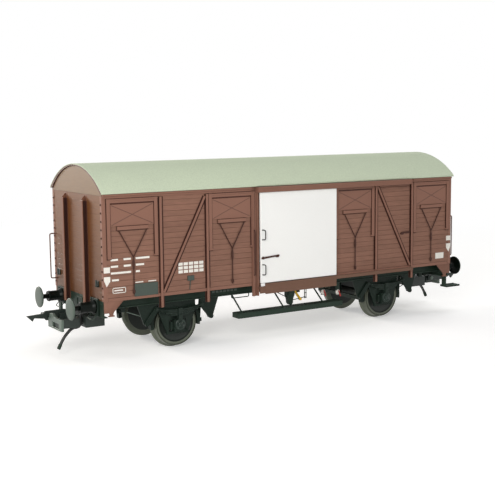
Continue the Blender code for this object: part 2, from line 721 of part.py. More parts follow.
# Buffers, left end, about the buffer's own line
def buffer_housing():
    # Square base, sleeve with a flared foot, and the bore that the shank and its spring work in
    base = block((-BASE_FACE, -SLEEVE_BACK), (-BASE_HALF, BASE_HALF), (-BASE_HALF, BASE_HALF))
    flare_r = SLEEVE_R + SLEEVE_FLARE
    profile = (
        (-SLEEVE_FRONT, SLEEVE_R - SLEEVE_LIP), (-SLEEVE_FRONT + SLEEVE_LIP, SLEEVE_R),
        (-BASE_FACE - 3 * SLEEVE_FLARE, SLEEVE_R), (-BASE_FACE - SLEEVE_FLARE, flare_r),
        (-SLEEVE_BACK - 2 * GAP, flare_r),
    )
    sleeve = turned(profile, "X", (0, 0), BUFFER_STEPS)
    bore_profile = ((-SLEEVE_FRONT - SUNK, SLEEVE_BORE_R), (-SLEEVE_BORE_END, SLEEVE_BORE_R))
    return fused("buffer_housing", [base, sleeve], [turned(bore_profile, "X", (0, 0), BUFFER_STEPS)])


def buffer_plunger():
    # Round head on a fillet and a plain shank
    back = -BUFFER_FACE + BUFFER_HEAD
    profile = (
        (-BUFFER_FACE, BUFFER_HEAD_R - BUFFER_BEVEL), (-BUFFER_FACE + BUFFER_BEVEL, BUFFER_HEAD_R),
        (back - GAP, BUFFER_HEAD_R), (back + BUFFER_BEVEL, SHANK_R + SHANK_FILLET),
        (back + SHANK_FILLET, SHANK_R), (-SHANK_END, SHANK_R),
    )
    return mesh_of("buffer_plunger", turned(profile, "X", (0, 0), BUFFER_STEPS))


def buffer_spring():
    # Coil between the shank's end and the bottom of the sleeve
    start = -SHANK_END + BUFFER_WIRE_R + GAP
    length = SHANK_END - SLEEVE_BORE_END - 2 * (BUFFER_WIRE_R + GAP)
    count = BUFFER_TURNS * COIL_POINTS
    route = []
    for i in range(count + 1):
        a = 2 * math.pi * i / COIL_POINTS
        route.append((start + length * i / count, BUFFER_COIL_R * math.cos(a), BUFFER_COIL_R * math.sin(a)))
    return mesh_of("buffer_spring", wire(route, BUFFER_WIRE_R, 4))


# Couplers, left end
def coupler_pocket():
    # Open-fronted box on a stem under the floor, with the pin that the drawbar swings on
    low, high = POCKET_Z
    front, back = -POCKET_X[1], -POCKET_X[0]
    stem_x, stem_half = POCKET_STEM
    box = block((front, back), (-POCKET_HALF, POCKET_HALF), POCKET_Z)
    stem = block((-stem_x[1], -stem_x[0]), (-stem_half, stem_half), (high - SUNK, DECK_BOTTOM - GAP))
    hollow = block((front - SUNK, -POCKET_BACK), (-POCKET_HOLLOW_HALF, POCKET_HOLLOW_HALF), POCKET_HOLLOW_Z)
    pin = prism(arc((-PIVOT_X, 0), PIN_R, 0, 330, 11), "Z", low + SUNK, high - SUNK)
    return fused("coupler_pocket", [box, stem], [hollow], [pin])


def drawbar():
    # Swinging frame: bar and yoke, near arm, front plate with its mouth, and a cheek for the hook
    low, high = DRAWBAR_Z
    eye = prism(arc((-PIVOT_X, 0), EYE_R, 0, 337.5, 15), "Z", low, high)
    run_x = (-YOKE_X[1] + SUNK, -PIVOT_X - PIN_R - SUNK)
    run = block(run_x, (-DRAWBAR_HALF, DRAWBAR_HALF), (low + APART, high - APART))
    yoke = block((-YOKE_X[1], -YOKE_X[0]), YOKE_Y, (low + 2 * APART, high - 2 * APART))
    arm = block((-HEAD_X[1] + SUNK, -YOKE_X[0] + APART), NEAR_ARM_Y, NEAR_ARM_Z)
    plate = prism(HEAD_OUTLINE, "X", -HEAD_X[1], -HEAD_X[0])
    cheek = block((-CHEEK_X[1], -CHEEK_X[0]), CHEEK_Y, CHEEK_Z)
    pivot = (-HOOK_PIVOT[0], HOOK_PIVOT[1])
    pin = prism(arc(pivot, HOOK_PIN_R, 0, 330, 11), "Y", CHEEK_Y[1] - SUNK, HOOK_Y[1] + 2 * GAP)
    hole = prism(arc((-PIVOT_X, 0), PIN_R + GAP, 0, 330, 11), "Z", low - SUNK, high + SUNK)
    mouth = block((-HEAD_X[1] - SUNK, -HEAD_X[0] + SUNK), MOUTH_Y, MOUTH_Z)
    return fused("drawbar", [eye, run, yoke, arm, plate, cheek, pin], [hole, mouth])


def coupler_hook():
    plate = prism(flip(HOOK_OUTLINE, -1), "Y", HOOK_Y[0], HOOK_Y[1])
    pivot = (-HOOK_PIVOT[0], HOOK_PIVOT[1])
    hole = prism(arc(pivot, HOOK_PIN_R + GAP, 0, 330, 11), "Y", HOOK_Y[0] - SUNK, HOOK_Y[1] + SUNK)
    return fused("coupler_hook", [plate], [hole])


# Brakes
def brake_gear():
    # Pull rod, two cross beams, four hangers and a block on the inner side of every wheel
    reach = AXLE_X - BRAKE_BEAM_OFFSET
    rod_z = (BRAKE_ROD_Z - BRAKE_ROD, BRAKE_ROD_Z + BRAKE_ROD)
    rod = block((-reach, reach), (-BRAKE_ROD, BRAKE_ROD), rod_z)
    shapes = [rod]
    beam_y = (-SHOE_Y[1] + GAP, SHOE_Y[1] - GAP)
    beam_z = (AXLE_HEIGHT - BRAKE_BEAM / 2, AXLE_HEIGHT + BRAKE_BEAM / 2)
    arm_y = (-BRAKE_ROD - GAP, BRAKE_ROD + GAP)
    for end in (-1, 1):
        x = end * reach
        shapes.append(block((x - BRAKE_BEAM / 2, x + BRAKE_BEAM / 2), beam_y, beam_z))
        arm_x = (x - BRAKE_ROD - GAP, x + BRAKE_ROD + GAP)
        shapes.append(block(arm_x, arm_y, (AXLE_HEIGHT, rod_z[1] + APART)))
        middle = 0 if end < 0 else 180
        centre = (end * AXLE_X, AXLE_HEIGHT)
        shoe = arc(centre, SHOE_OUTER_R, middle - SHOE_ANGLE, middle + SHOE_ANGLE, 6)
        shoe += arc(centre, SHOE_INNER_R, middle + SHOE_ANGLE, middle - SHOE_ANGLE, 6)
        for side in (-1, 1):
            y = sorted((side * SHOE_Y[0], side * SHOE_Y[1]))
            shapes.append(prism(shoe, "Y", y[0], y[1]))
            hanger_y = sorted((side * BRAKE_HANGER_Y[0], side * BRAKE_HANGER_Y[1]))
            head = (x - end * BRAKE_HANGER_LEAN, BRAKE_HANGER_TOP)
            shapes.append(bar((x, AXLE_HEIGHT), head, 2 * BRAKE_ROD, hanger_y))
    return fused("brake_gear", shapes)


def brake_vessel(x):
    # A lying vessel with domed ends, held under the ballast by a saddle
    end_r = VESSEL_R / 2
    dome = VESSEL_R / 3
    profile = ((x[0], end_r), (x[0] + dome, VESSEL_R), (x[1] - dome, VESSEL_R), (x[1], end_r))
    body = turned(profile, "X", (VESSEL_Y, VESSEL_Z), COVER_STEPS)
    middle = (x[0] + x[1]) / 2
    saddle_x = (middle - SADDLE_HALF, middle + SADDLE_HALF)
    saddle = block(saddle_x, (VESSEL_Y - end_r, VESSEL_Y + end_r), (VESSEL_Z, BALLAST_Z[0] - GAP))
    return fused("brake_vessel", [body, saddle])


def change_lever():
    # Lever of the brake change-over box, on the near side
    lever_y = (-CHANGE_LEVER_Y[1], -CHANGE_LEVER_Y[0])
    return mesh_of("change_lever", bar(*CHANGE_LEVER, CHANGE_LEVER_WIDTH, lever_y))


def hose():
    return mesh_of("brake_hose", wire([(-x, HOSE_Y, z) for x, z in HOSE_ROUTE], HOSE_R))


def end_rail():
    # Bent-wire handrail on the far corner of the left end
    route = [(x, RAIL_Y, z) for x, z in bent_wire(-END_X - GAP, -RAIL_FACE, RAIL_Z)]
    return mesh_of("end_handrail", wire(route, RAIL_RADIUS))


def build():
    brown = finish_of("brown_plastic", (0.235, 0.135, 0.098), 0.55)
    pale = finish_of("roof_plastic", (0.49, 0.54, 0.40), 0.6)
    white = finish_of("door_plastic", (0.82, 0.83, 0.80), 0.5)
    black = finish_of("black_plastic", (0.022, 0.026, 0.023), 0.5)
    timber = finish_of("deck_plastic", (0.16, 0.10, 0.07), 0.7)
    steel = finish_of("steel", (0.42, 0.43, 0.40), 0.35, 1.0)
    rim = finish_of("wheel_metal", (0.12, 0.13, 0.11), 0.4, 1.0)
    yellow = finish_of("yellow_paint", (0.62, 0.45, 0.03), 0.5)
    brass = finish_of("brass", (0.60, 0.43, 0.17), 0.35, 1.0)

    place_pair(("side_wall_near_left", "side_wall_far_right"), side_wall(-1, DOOR_LEFT), brown)
    place_pair(("side_wall_near_right", "side_wall_far_left"), side_wall(1, DOOR_RIGHT), brown)
    place_pair(("end_wall_left", "end_wall_right"), end_wall(), brown)
    place("roof", roof(), pale, smooth=True)
    deck = block((-END_X + WALL + 2 * GAP, END_X - WALL - 2 * GAP), (-SIDE_INNER + GAP, SIDE_INNER - GAP),
                 (DECK_BOTTOM, DECK_TOP))
    place("floor_deck", mesh_of("floor_deck", deck), timber)
    ballast = block((-BALLAST_HALF[0], BALLAST_HALF[0]), (-BALLAST_HALF[1], BALLAST_HALF[1]), BALLAST_Z)
    place("ballast_plate", mesh_of("ballast_plate", ballast), steel)
    place_pair(("door_near", "door_far"), door(), white)
    place_pair(("door_top_rail_near", "door_top_rail_far"), door_top_rail(), brown)
    place_pair(("door_sill_near", "door_sill_far"), door_sill(), brown)

    place_pair(("headstock_left", "headstock_right"), headstock(), black)
    place_pair(("solebar_near", "solebar_far"), solebar(), black)
    place("step_board", step_board(), black)
    place_pair(("end_handrail_left", "end_handrail_right"), end_rail(), black)

    guard = axle_guard()
    bearing = axle_bearing()
    wheels = {"near": wheel(-1), "far": wheel(1)}
    shaft = axle()
    for end, x in (("left", -AXLE_X), ("right", AXLE_X)):
        other = "right" if end == "left" else "left"
        place_pair(("axle_guard_near_" + end, "axle_guard_far_" + other), guard, black, (x, 0, 0))
        centre = (x, 0, AXLE_HEIGHT)
        place_pair(("axle_bearing_near_" + end, "axle_bearing_far_" + other), bearing, brass, centre, True)
        place("axle_" + end, shaft, steel, centre, smooth=True)
        for side, mesh in wheels.items():
            place("wheel_" + side + "_" + end, mesh, rim, centre, smooth=True)

    housing, plunger, coil = buffer_housing(), buffer_plunger(), buffer_spring()
    for side, other, y in (("near", "far", -BUFFER_Y), ("far", "near", BUFFER_Y)):
        line = (0, y, BUFFER_HEIGHT)
        ends = (side + "_left", other + "_right")
        place_pair(["buffer_housing_" + end for end in ends], housing, black, line, True)
        place_pair(["buffer_plunger_" + end for end in ends], plunger, steel, line, True)
        place_pair(["buffer_spring_" + end for end in ends], coil, steel, line, True)

    pivot = (-PIVOT_X, 0, 0)
    lift = (-HOOK_PIVOT[0], 0, HOOK_PIVOT[1])
    place_pair(("coupler_pocket_left", "coupler_pocket_right"), coupler_pocket(), black)
    place_pair(("drawbar_left", "drawbar_right"), centred(drawbar(), pivot), black, pivot)
    place_pair(("coupler_hook_left", "coupler_hook_right"), centred(coupler_hook(), lift), black, lift)

    place("brake_gear", brake_gear(), black)
    place("brake_cylinder", brake_vessel(CYLINDER_X), black, smooth=True)
    place("air_reservoir", brake_vessel(TANK_X), black, smooth=True)
    place("change_lever", change_lever(), yellow)
    place_pair(("brake_hose_left", "brake_hose_right"), hose(), black, smooth=True)


clear_scene()
WAGON = bpy.data.objects.new("wagon", None)
bpy.context.scene.collection.objects.link(WAGON)
WAGON.location = (0, 0, RAIL_HEAD * MM)
build()
bpy.context.view_layer.update()
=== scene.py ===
# Finished surfaces of the model covered wagon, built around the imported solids
# Lengths are millimetres, heights count from the rail head, the near side is -Y and the left end -X
import json
import bmesh
import bpy
import numpy as np
from mathutils import Matrix, Vector


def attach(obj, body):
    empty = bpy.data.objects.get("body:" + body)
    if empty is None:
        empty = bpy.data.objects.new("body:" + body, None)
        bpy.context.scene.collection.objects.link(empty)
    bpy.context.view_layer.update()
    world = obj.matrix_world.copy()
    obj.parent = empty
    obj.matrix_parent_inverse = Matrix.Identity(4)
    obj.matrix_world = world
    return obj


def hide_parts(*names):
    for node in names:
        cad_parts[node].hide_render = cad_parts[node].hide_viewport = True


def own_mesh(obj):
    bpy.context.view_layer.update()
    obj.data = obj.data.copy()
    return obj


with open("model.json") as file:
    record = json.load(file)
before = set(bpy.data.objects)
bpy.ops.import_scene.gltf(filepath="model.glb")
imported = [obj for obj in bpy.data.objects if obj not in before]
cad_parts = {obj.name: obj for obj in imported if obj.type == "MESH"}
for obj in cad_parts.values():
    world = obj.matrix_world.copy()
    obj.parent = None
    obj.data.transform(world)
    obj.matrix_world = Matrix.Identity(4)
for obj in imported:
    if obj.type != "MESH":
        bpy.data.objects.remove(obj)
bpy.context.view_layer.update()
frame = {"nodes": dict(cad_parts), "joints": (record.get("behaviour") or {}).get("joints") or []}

mm = 0.001
axleHeight = 11.1
axleX = 63.35
bothSides = (-1, 1)
axleJoint = next(j for j in frame["joints"] if j["name"] == "wheelset_left_spin")
railTop = axleJoint["pos_m"][2] / mm - axleHeight  # rail head over the frame's floor
print("frame loaded, rail head at", round(railTop, 3))


# Shapes are pairs: an n by 3 array of points, and a list of index arrays, one array for each face size

def skin(grid, ring=False):
    # Grid p[i, j]: every loop i closes in j. The loops follow each other to flat caps,
    # or round to the first loop
    rows, cols = grid.shape[:2]
    here = np.arange(rows * cols).reshape(rows, cols)
    beside = np.roll(here, -1, axis=1)
    ahead = np.roll(here, -1, axis=0)
    quads = np.stack((here, beside, np.roll(beside, -1, axis=0), ahead), axis=-1)
    if ring:
        return grid.reshape(-1, 3), [quads.reshape(-1, 4)]
    caps = np.stack((here[0, ::-1], here[-1]))
    return grid.reshape(-1, 3), [quads[:-1].reshape(-1, 4), caps]


def bar(outline, axis, low, high):
    # A flat outline in the two other axes, carried straight from low to high.
    # An end may be a number per point
    outline = np.asarray(outline, float)
    along = "xyz".index(axis)
    rest = [k for k in range(3) if k != along]
    grid = np.empty((2, len(outline), 3))
    grid[:, :, rest] = outline
    grid[0, :, along] = low
    grid[1, :, along] = high
    return skin(grid)


def block(x, y, z):
    # A rectangle in X and Y carried along Z
    return bar(((x[0], y[0]), (x[1], y[0]), (x[1], y[1]), (x[0], y[1])), "z", z[0], z[1])


def outward(span):
    # A span counted outwards from the middle, on the near side or the left end
    return -span[1], -span[0]


def around(middle, half):
    return middle - half, middle + half


def sideBlock(x, y, z):
    # A block of the near side, with Y counted outwards
    return block(x, outward(y), z)


def endBlock(x, y, z):
    # A block of the left end, with X counted outwards
    return block(outward(x), y, z)


def sideBox(settings, part):
    # The same from the three spans of one part in the settings
    return sideBlock(*[settings[part + axis] for axis in "XYZ"])


def endBox(settings, part):
    return endBlock(*[settings[part + axis] for axis in "XYZ"])


def turned(outline, axis, centre, steps=32, ring=False):
    # Points (along, radius) spun about the axis: radius times cosine and sine in the two other axes
    outline = np.asarray(outline, float)
    along = "xyz".index(axis)
    rest = [k for k in range(3) if k != along]
    angle = np.linspace(0, 2 * np.pi, steps, endpoint=False) + np.pi / steps
    grid = np.empty((len(outline), steps, 3))
    grid[:, :, along] = outline[:, :1]
    grid[:, :, rest[0]] = centre[0] + outline[:, 1:] * np.cos(angle)
    grid[:, :, rest[1]] = centre[1] + outline[:, 1:] * np.sin(angle)
    return skin(grid, ring)


def rounded(route, radius, steps=5):
    # A polyline whose corners become quadratic curves that leave both runs at the given distance
    route = np.asarray(route, float)
    corner = route[1:-1]
    t = np.linspace(0, 1, steps)[None, :, None]
    ends = []
    for run in (route[:-2] - corner, route[2:] - corner):
        reach = np.linalg.norm(run, axis=1, keepdims=True)
        ends.append((corner + run / reach * np.minimum(radius, reach / 2))[:, None])
    curve = (1 - t) ** 2 * ends[0] + 2 * t * (1 - t) * corner[:, None] + t ** 2 * ends[1]
    return np.vstack((route[:1], curve.reshape(-1, 3), route[-1:]))


def flowing(route, steps=6):
    # A smooth cubic through every point: each span starts and ends along the line between its neighbours
    route = np.asarray(route, float)
    padded = np.vstack((2 * route[0] - route[1], route, 2 * route[-1] - route[-2]))
    before, start, end, after = (padded[k:len(padded) - 3 + k, None] for k in range(4))
    t = np.linspace(0, 1, steps, endpoint=False)[None, :, None]
    curve = start + 0.5 * t * (end - before + t * (
        2 * before - 5 * start + 4 * end - after + t * (3 * (start - end) + after - before)))
    return np.vstack((curve.reshape(-1, 3), route[-1:]))


def wire(route, radius, sides=10):
    # A circle carried along the route, square to the mean of the runs that meet at each point
    route = np.asarray(route, float)
    run = np.gradient(route, axis=0)
    run /= np.linalg.norm(run, axis=1, keepdims=True)
    spare = np.eye(3)[np.argmin(np.abs(run).max(axis=0))]
    side = np.cross(run, spare)
    side /= np.linalg.norm(side, axis=1, keepdims=True)
    lift = np.cross(side, run)
    angle = np.linspace(0, 2 * np.pi, sides, endpoint=False)[None, :, None]
    grid = route[:, None] + radius * (np.cos(angle) * side[:, None] + np.sin(angle) * lift[:, None])
    return skin(grid)


def ribbon(outline, thick, y):
    # A strip of even thickness under the curve z(x), between two Y faces
    top = np.asarray(outline, float)
    grid = np.empty((len(top), 4, 3))
    grid[:, :, 0] = top[:, :1]
    grid[:, :, 1] = (y[0], y[1], y[1], y[0])
    grid[:, :, 2] = top[:, 1:] - np.array((0, 0, thick, thick))
    return skin(grid)


def repeat(shape, offsets):
    # The same shape at every offset
    points, faces = shape
    offsets = np.asarray(offsets, float)
    base = np.arange(len(offsets))[:, None, None] * len(points)
    moved = (points[None] + offsets[:, None]).reshape(-1, 3)
    return moved, [(f[None] + base).reshape(-1, f.shape[1]) for f in faces]


def joined(*shapes):
    # Several shapes as one, indices counted on
    starts = np.cumsum([0] + [len(points) for points, faces in shapes])
    faces = [f + start for (points, group), start in zip(shapes, starts) for f in group]
    return np.vstack([points for points, group in shapes]), faces


def mirrored(shape, axis):
    # The shape with one coordinate negated, and its faces turned back out
    points = shape[0].copy()
    points[:, "xyz".index(axis)] *= -1
    return points, [f[:, ::-1] for f in shape[1]]


def halfTurn(shape):
    # X and Y negated together
    return shape[0] * (-1, -1, 1), shape[1]


def leaned(shape, start, end):
    # A shape that stands up from the origin, leaned in the XZ plane so that its Z runs from start to end
    dx, dz = end[0] - start[0], end[1] - start[1]
    reach = np.hypot(dx, dz)
    x, y, z = shape[0].T
    lean = np.stack((start[0] + (x * dz + z * dx) / reach, y, start[1] + (z * dz - x * dx) / reach),
                    axis=-1)
    return lean, shape[1]


def studs(centres, axis, outward, radius, height, sides=8):
    # Round heads: an ellipse's quarter spun about the axis, repeated at every centre
    rise = np.radians((0, 0, 38, 68))
    outline = np.stack((outward * height * np.sin(rise), radius * np.cos(rise)), axis=-1)
    outline[0, 0] = -outward * height
    return repeat(turned(outline, axis, (0, 0), sides), centres)


def circle(centre, radius, steps=24, start=0.0, end=360.0):
    # Points on an arc, angles in degrees; a whole circle leaves out its last point
    angle = np.radians(np.linspace(start, end, steps, endpoint=abs(end - start) < 360))
    return np.stack((centre[0] + radius * np.cos(angle), centre[1] + radius * np.sin(angle)), axis=-1)


def capsule(start, end, radius, y):
    # A flat link: half circles about both ends, carried along Y
    heading = np.degrees(np.arctan2(end[1] - start[1], end[0] - start[0]))
    outline = np.vstack((circle(end, radius, 9, heading - 90, heading + 90),
                         circle(start, radius, 9, heading + 90, heading + 270)))
    return bar(outline, "y", y[0], y[1])


# Pieces

swap = {"near": "far", "far": "near", "left": "right", "right": "left"}


def turnedName(name):
    return "_".join(swap.get(word, word) for word in name.split("_"))


def makePiece(name, shape, finish, body="wagon", slot="brown_body", nodes=(), edge=0.0, angle=35,
              segments=2):
    points, faces = shape
    mesh = bpy.data.meshes.new(name)
    mesh.from_pydata(((points + (0, 0, railTop)) * mm).tolist(), [],
                     [f for group in faces for f in group.tolist()])
    shell = bmesh.new()
    shell.from_mesh(mesh)
    bmesh.ops.recalc_face_normals(shell, faces=shell.faces)
    shell.to_mesh(mesh)
    shell.free()
    mesh.materials.append(finish)
    mesh.shade_smooth()
    mesh.set_sharp_from_angle(angle=np.radians(angle))
    piece = bpy.data.objects.new(name, mesh)
    bpy.context.scene.collection.objects.link(piece)
    if edge:
        soft = piece.modifiers.new("softEdge", "BEVEL")
        soft.width = edge * mm
        soft.segments = segments
        soft.limit_method = "ANGLE"
        soft.angle_limit = np.radians(40)
        soft.harden_normals = True
    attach(piece, body)
    if nodes:
        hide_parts(*nodes)
    return piece


def makePair(name, shape, finish, body="wagon", nodes=(), **more):
    # The piece and its half-turn copy on the other side and end
    return (makePiece(name, shape, finish, body, nodes=nodes, **more),
            makePiece(turnedName(name), halfTurn(shape), finish, turnedName(body),
                      nodes=[turnedName(n) for n in nodes], **more))


def dress(start, finish):
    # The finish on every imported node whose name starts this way
    for name, node in frame["nodes"].items():
        if name.startswith(start):
            node.data.materials.clear()
            node.data.materials.append(finish)


# Finishes

def tone(red, green, blue):
    # Screen values 0 to 255 as linear light
    share = np.array((red, green, blue)) / 255
    return tuple(np.where(share <= 0.04045, share / 12.92, ((share + 0.055) / 1.055) ** 2.4).tolist())


def addNode(tree, kind, inputs=None, **settings):
    made = tree.nodes.new(kind)
    for key, value in settings.items():
        setattr(made, key, value)
    for key, value in (inputs or {}).items():
        if isinstance(value, bpy.types.NodeSocket):
            tree.links.new(value, made.inputs[key])
        else:
            made.inputs[key].default_value = value
    return made


def ranged(tree, value, low=0.0, high=1.0, toLow=0.0, toHigh=1.0, **settings):
    # A value between low and high carried to the range from toLow to toHigh
    return addNode(tree, "ShaderNodeMapRange", {"Value": value, "From Min": low, "From Max": high,
                                                "To Min": toLow, "To Max": toHigh}, **settings).outputs[0]


def spread(tree, value, share, low=0.3, high=0.7):
    # A noise value as a factor about 1
    return ranged(tree, value, low, high, 1 - share, 1 + share)


def maths(tree, operation, *values):
    return addNode(tree, "ShaderNodeMath", dict(enumerate(values)), operation=operation).outputs[0]


def times(tree, first, second):
    return maths(tree, "MULTIPLY", first, second)


def noise(tree, place, size, detail):
    # Noise with features of about this many millimetres
    inputs = {"Vector": place, "Scale": 1 / (size * mm), "Detail": detail}
    return addNode(tree, "ShaderNodeTexNoise", inputs).outputs[0]


def mixTone(tree, factor, first, second):
    mixed = addNode(tree, "ShaderNodeMix", {0: factor, 6: first, 7: second}, data_type="RGBA")
    return mixed.outputs[2]


# the first tone is painted shade near the floor line, the second is real dust
lowShadeTone, dustTone = (*tone(50, 24, 14), 1.0), (*tone(168, 160, 142), 1.0)


def makeFinish(name, colour, rough, metal=0.0, cloud=0.08, cloudSize=18, grain=0.05, grainSize=0.6,
               stretch=(1, 1, 1), bump=0.02, plank=0.0, dust=0.0, wearAndHighlight=0.0, recessShade=0.55, recessShadeReach=1.0,
               rim=None, shine=0.5, lowShade=0.0):
    # Clouds and grain of noise tint the colour, planks differ by their row, painted shade from ambient
    # occlusion darkens the recesses, a rim beyond a radius about the axle has its own colour, painted
    # shade darkens the colour towards the floor line, dust lies on faces that look up, and edges turn pale
    # as wear and painted highlight
    material = bpy.data.materials.new(name)
    material.use_nodes = True
    tree = material.node_tree
    shader = tree.nodes["Principled BSDF"]
    shader.inputs["Specular IOR Level"].default_value = shine
    base = (*tone(*colour), 1.0)
    coords = addNode(tree, "ShaderNodeTexCoord").outputs["Object"]
    drawn = addNode(tree, "ShaderNodeMapping", {"Vector": coords, "Scale": stretch}).outputs[0]
    clouds = noise(tree, coords, cloudSize, 4.0)
    fine = noise(tree, drawn, grainSize, 3.0)
    factor = times(tree, spread(tree, clouds, cloud), spread(tree, fine, grain))
    place = addNode(tree, "ShaderNodeSeparateXYZ", {0: coords}).outputs
    placeX, placeZ = place[0], place[2]
    floorLine = planks["low"] + railTop
    if plank:
        row = maths(tree, "MULTIPLY_ADD", placeZ, 1 / (planks["pitch"] * mm), -floorLine / planks["pitch"])
        chance = addNode(tree, "ShaderNodeTexWhiteNoise", {"W": maths(tree, "FLOOR", row)},
                         noise_dimensions="1D")
        factor = times(tree, factor, spread(tree, chance.outputs[0], plank, 0.0, 1.0))
    # painted shade: ambient occlusion darkens the colour in recesses and undercuts
    if recessShade:
        openness = addNode(tree, "ShaderNodeAmbientOcclusion", {"Distance": recessShadeReach * mm},
                           samples=8).outputs["AO"]
        factor = times(tree, factor, ranged(tree, openness, 0.25, 0.85, 1 - recessShade))
    tint = base[:3]
    roughOut = ranged(tree, clouds, 0.3, 0.7, rough - 0.07, rough + 0.07)
    if rim:
        # radius from the axle: the root of (|x| - axle place) squared plus (z - axle height) squared
        across = maths(tree, "SUBTRACT", maths(tree, "ABSOLUTE", placeX), axleX * mm)
        above = maths(tree, "SUBTRACT", placeZ, (axleHeight + railTop) * mm)
        flat = addNode(tree, "ShaderNodeCombineXYZ", {0: across, 1: above}).outputs[0]
        radius = addNode(tree, "ShaderNodeVectorMath", {0: flat}, operation="LENGTH").outputs["Value"]
        onRim = ranged(tree, radius, rim["radius"] * mm, (rim["radius"] + 0.15) * mm)
        tint = mixTone(tree, onRim, base, (*tone(*rim["colour"]), 1.0))
        roughOut = ranged(tree, onRim, toLow=rough, toHigh=rim["rough"])
        metalOut = ranged(tree, onRim, toLow=metal, toHigh=rim["metal"])
        tree.links.new(metalOut, shader.inputs["Metallic"])
    else:
        shader.inputs["Metallic"].default_value = metal
    colourOut = addNode(tree, "ShaderNodeVectorMath", {0: tint, "Scale": factor},
                        operation="SCALE").outputs[0]
    # painted shade: the colour darkens towards the floor line
    if lowShade:
        lowShadeMix = ranged(tree, placeZ, floorLine * mm, (planks["lowShadeTop"] + railTop) * mm, lowShade, 0.0)
        colourOut = mixTone(tree, lowShadeMix, colourOut, lowShadeTone)
    surface = addNode(tree, "ShaderNodeNewGeometry")
    if dust:
        up = addNode(tree, "ShaderNodeSeparateXYZ", {0: surface.outputs["Normal"]}).outputs[2]
        lying = times(tree, ranged(tree, up, 0.4, 1.0, 0.0, dust), spread(tree, clouds, 0.5))
        colourOut = mixTone(tree, lying, colourOut, dustTone)
    # pale edges: partly edge wear, partly a painted highlight
    if wearAndHighlight:
        paleEdgeMix = ranged(tree, surface.outputs["Pointiness"], 0.52, 0.62, 0.0, wearAndHighlight)
        pale = tuple(min(1.0, 1.9 * c + 0.03) for c in base[:3])
        colourOut = mixTone(tree, paleEdgeMix, colourOut, (*pale, 1.0))
    tree.links.new(colourOut, shader.inputs["Base Color"])
    tree.links.new(roughOut, shader.inputs["Roughness"])
    raised = addNode(tree, "ShaderNodeBump", {"Height": fine, "Strength": 1.0, "Distance": bump * mm})
    tree.links.new(raised.outputs[0], shader.inputs["Normal"])
    return material


# planks also give the height where the painted shade above the floor line ends
planks = {"pitch": 2.53, "low": 28.2, "high": 73.3, "lowShadeTop": 62, "sideGroove": (0.26, 0.14),
          "endGroove": (0.22, 0.07)}
alongX, alongY = (0.12, 1, 1), (1, 0.12, 1)
smoothPaint = {"cloud": 0.06, "grain": 0.05, "bump": 0.01}
steelPaint = {"cloud": 0.06, "grain": 0.05, "bump": 0.012}
blackPaint = {"cloud": 0.15, "grain": 0.1, "bump": 0.015, "wearAndHighlight": 0.4}
bareSteel = {"cloud": 0.1, "grain": 0.1, "bump": 0.008}
brownPlank = makeFinish("brownPlank", (134, 98, 83), 0.6, shine=0.22, cloud=0.07, grain=0.08,
                        stretch=alongX, plank=0.05, bump=0.025)
# the gable shares the end walls' paint; its lighter base is painted light
brownGableLit = makeFinish("brownGableLit", (125, 99, 74), 0.46, shine=0.34, cloud=0.04, grain=0.05,
                        stretch=alongY, bump=0.012)
brownEnd = makeFinish("brownEnd", (108, 66, 34), 0.44, shine=0.34, lowShade=0.36, cloud=0.05, grain=0.06,
                      stretch=alongY, plank=0.03, bump=0.015)
brownSteel = makeFinish("brownSteel", (118, 83, 69), 0.5, shine=0.22, wearAndHighlight=0.35, **steelPaint)
brownPost = makeFinish("brownPost", (112, 74, 57), 0.5, shine=0.2, wearAndHighlight=0.35, **steelPaint)
brownSill = makeFinish("brownSill", (103, 75, 61), 0.52, shine=0.22, wearAndHighlight=0.3, **steelPaint)
brownLine = makeFinish("brownLine", (92, 61, 50), 0.55, **smoothPaint)
# dark brown: the paint of small fittings and bolts, and also painted shade on post webs, channel linings,
# shade strips and pull rods
darkBrownAndShade = makeFinish("darkBrownAndShade", (64, 36, 28), 0.55, shine=0.25, cloud=0.08, grain=0.05, bump=0.01)
roofSand = makeFinish("roofSand", (192, 203, 178), 0.72, cloud=0.035, cloudSize=30, grain=0.075,
                      grainSize=0.55, bump=0.05)
doorPale = makeFinish("doorPale", (249, 249, 247), 0.48, cloud=0.012, cloudSize=26, grain=0.012,
                      bump=0.006)
frameBlack = makeFinish("frameBlack", (27, 43, 33), 0.42, shine=0.18, dust=0.02, **blackPaint)
gearBlack = makeFinish("gearBlack", (12, 27, 19), 0.38, shine=0.16, dust=0.01, **blackPaint)
glossBlack = makeFinish("glossBlack", (8, 14, 10), 0.3, cloud=0.1, grain=0.04, bump=0.002, shine=0.12)
# the covers are the axleboxes' black drawn lighter, as painted highlight on their rings
coverHighlightGrey = makeFinish("coverHighlightGrey", (28, 42, 35), 0.34, shine=0.3, cloud=0.12, grain=0.08, bump=0.012,
                       wearAndHighlight=0.5)
axleDark = makeFinish("axleDark", (44, 46, 42), 0.4, metal=0.5, **bareSteel)
couplerGrey = makeFinish("couplerGrey", (27, 37, 32), 0.48, cloud=0.12, grain=0.1, bump=0.02, dust=0.04,
                         wearAndHighlight=0.15)
headGrey = makeFinish("headGrey", (84, 97, 88), 0.45, cloud=0.1, grain=0.08, bump=0.02, wearAndHighlight=0.2)
bufferSteel = makeFinish("bufferSteel", (72, 85, 75), 0.42, metal=0.3, cloud=0.12, grain=0.1, bump=0.012)
axleSteel = makeFinish("axleSteel", (150, 150, 142), 0.35, metal=1.0, **bareSteel)
wheelMetal = makeFinish("wheelMetal", (30, 35, 31), 0.5, metal=0.2, cloud=0.15, grain=0.12, bump=0.015,
                        rim={"radius": 9.2, "colour": (92, 97, 84), "rough": 0.34, "metal": 0.45})
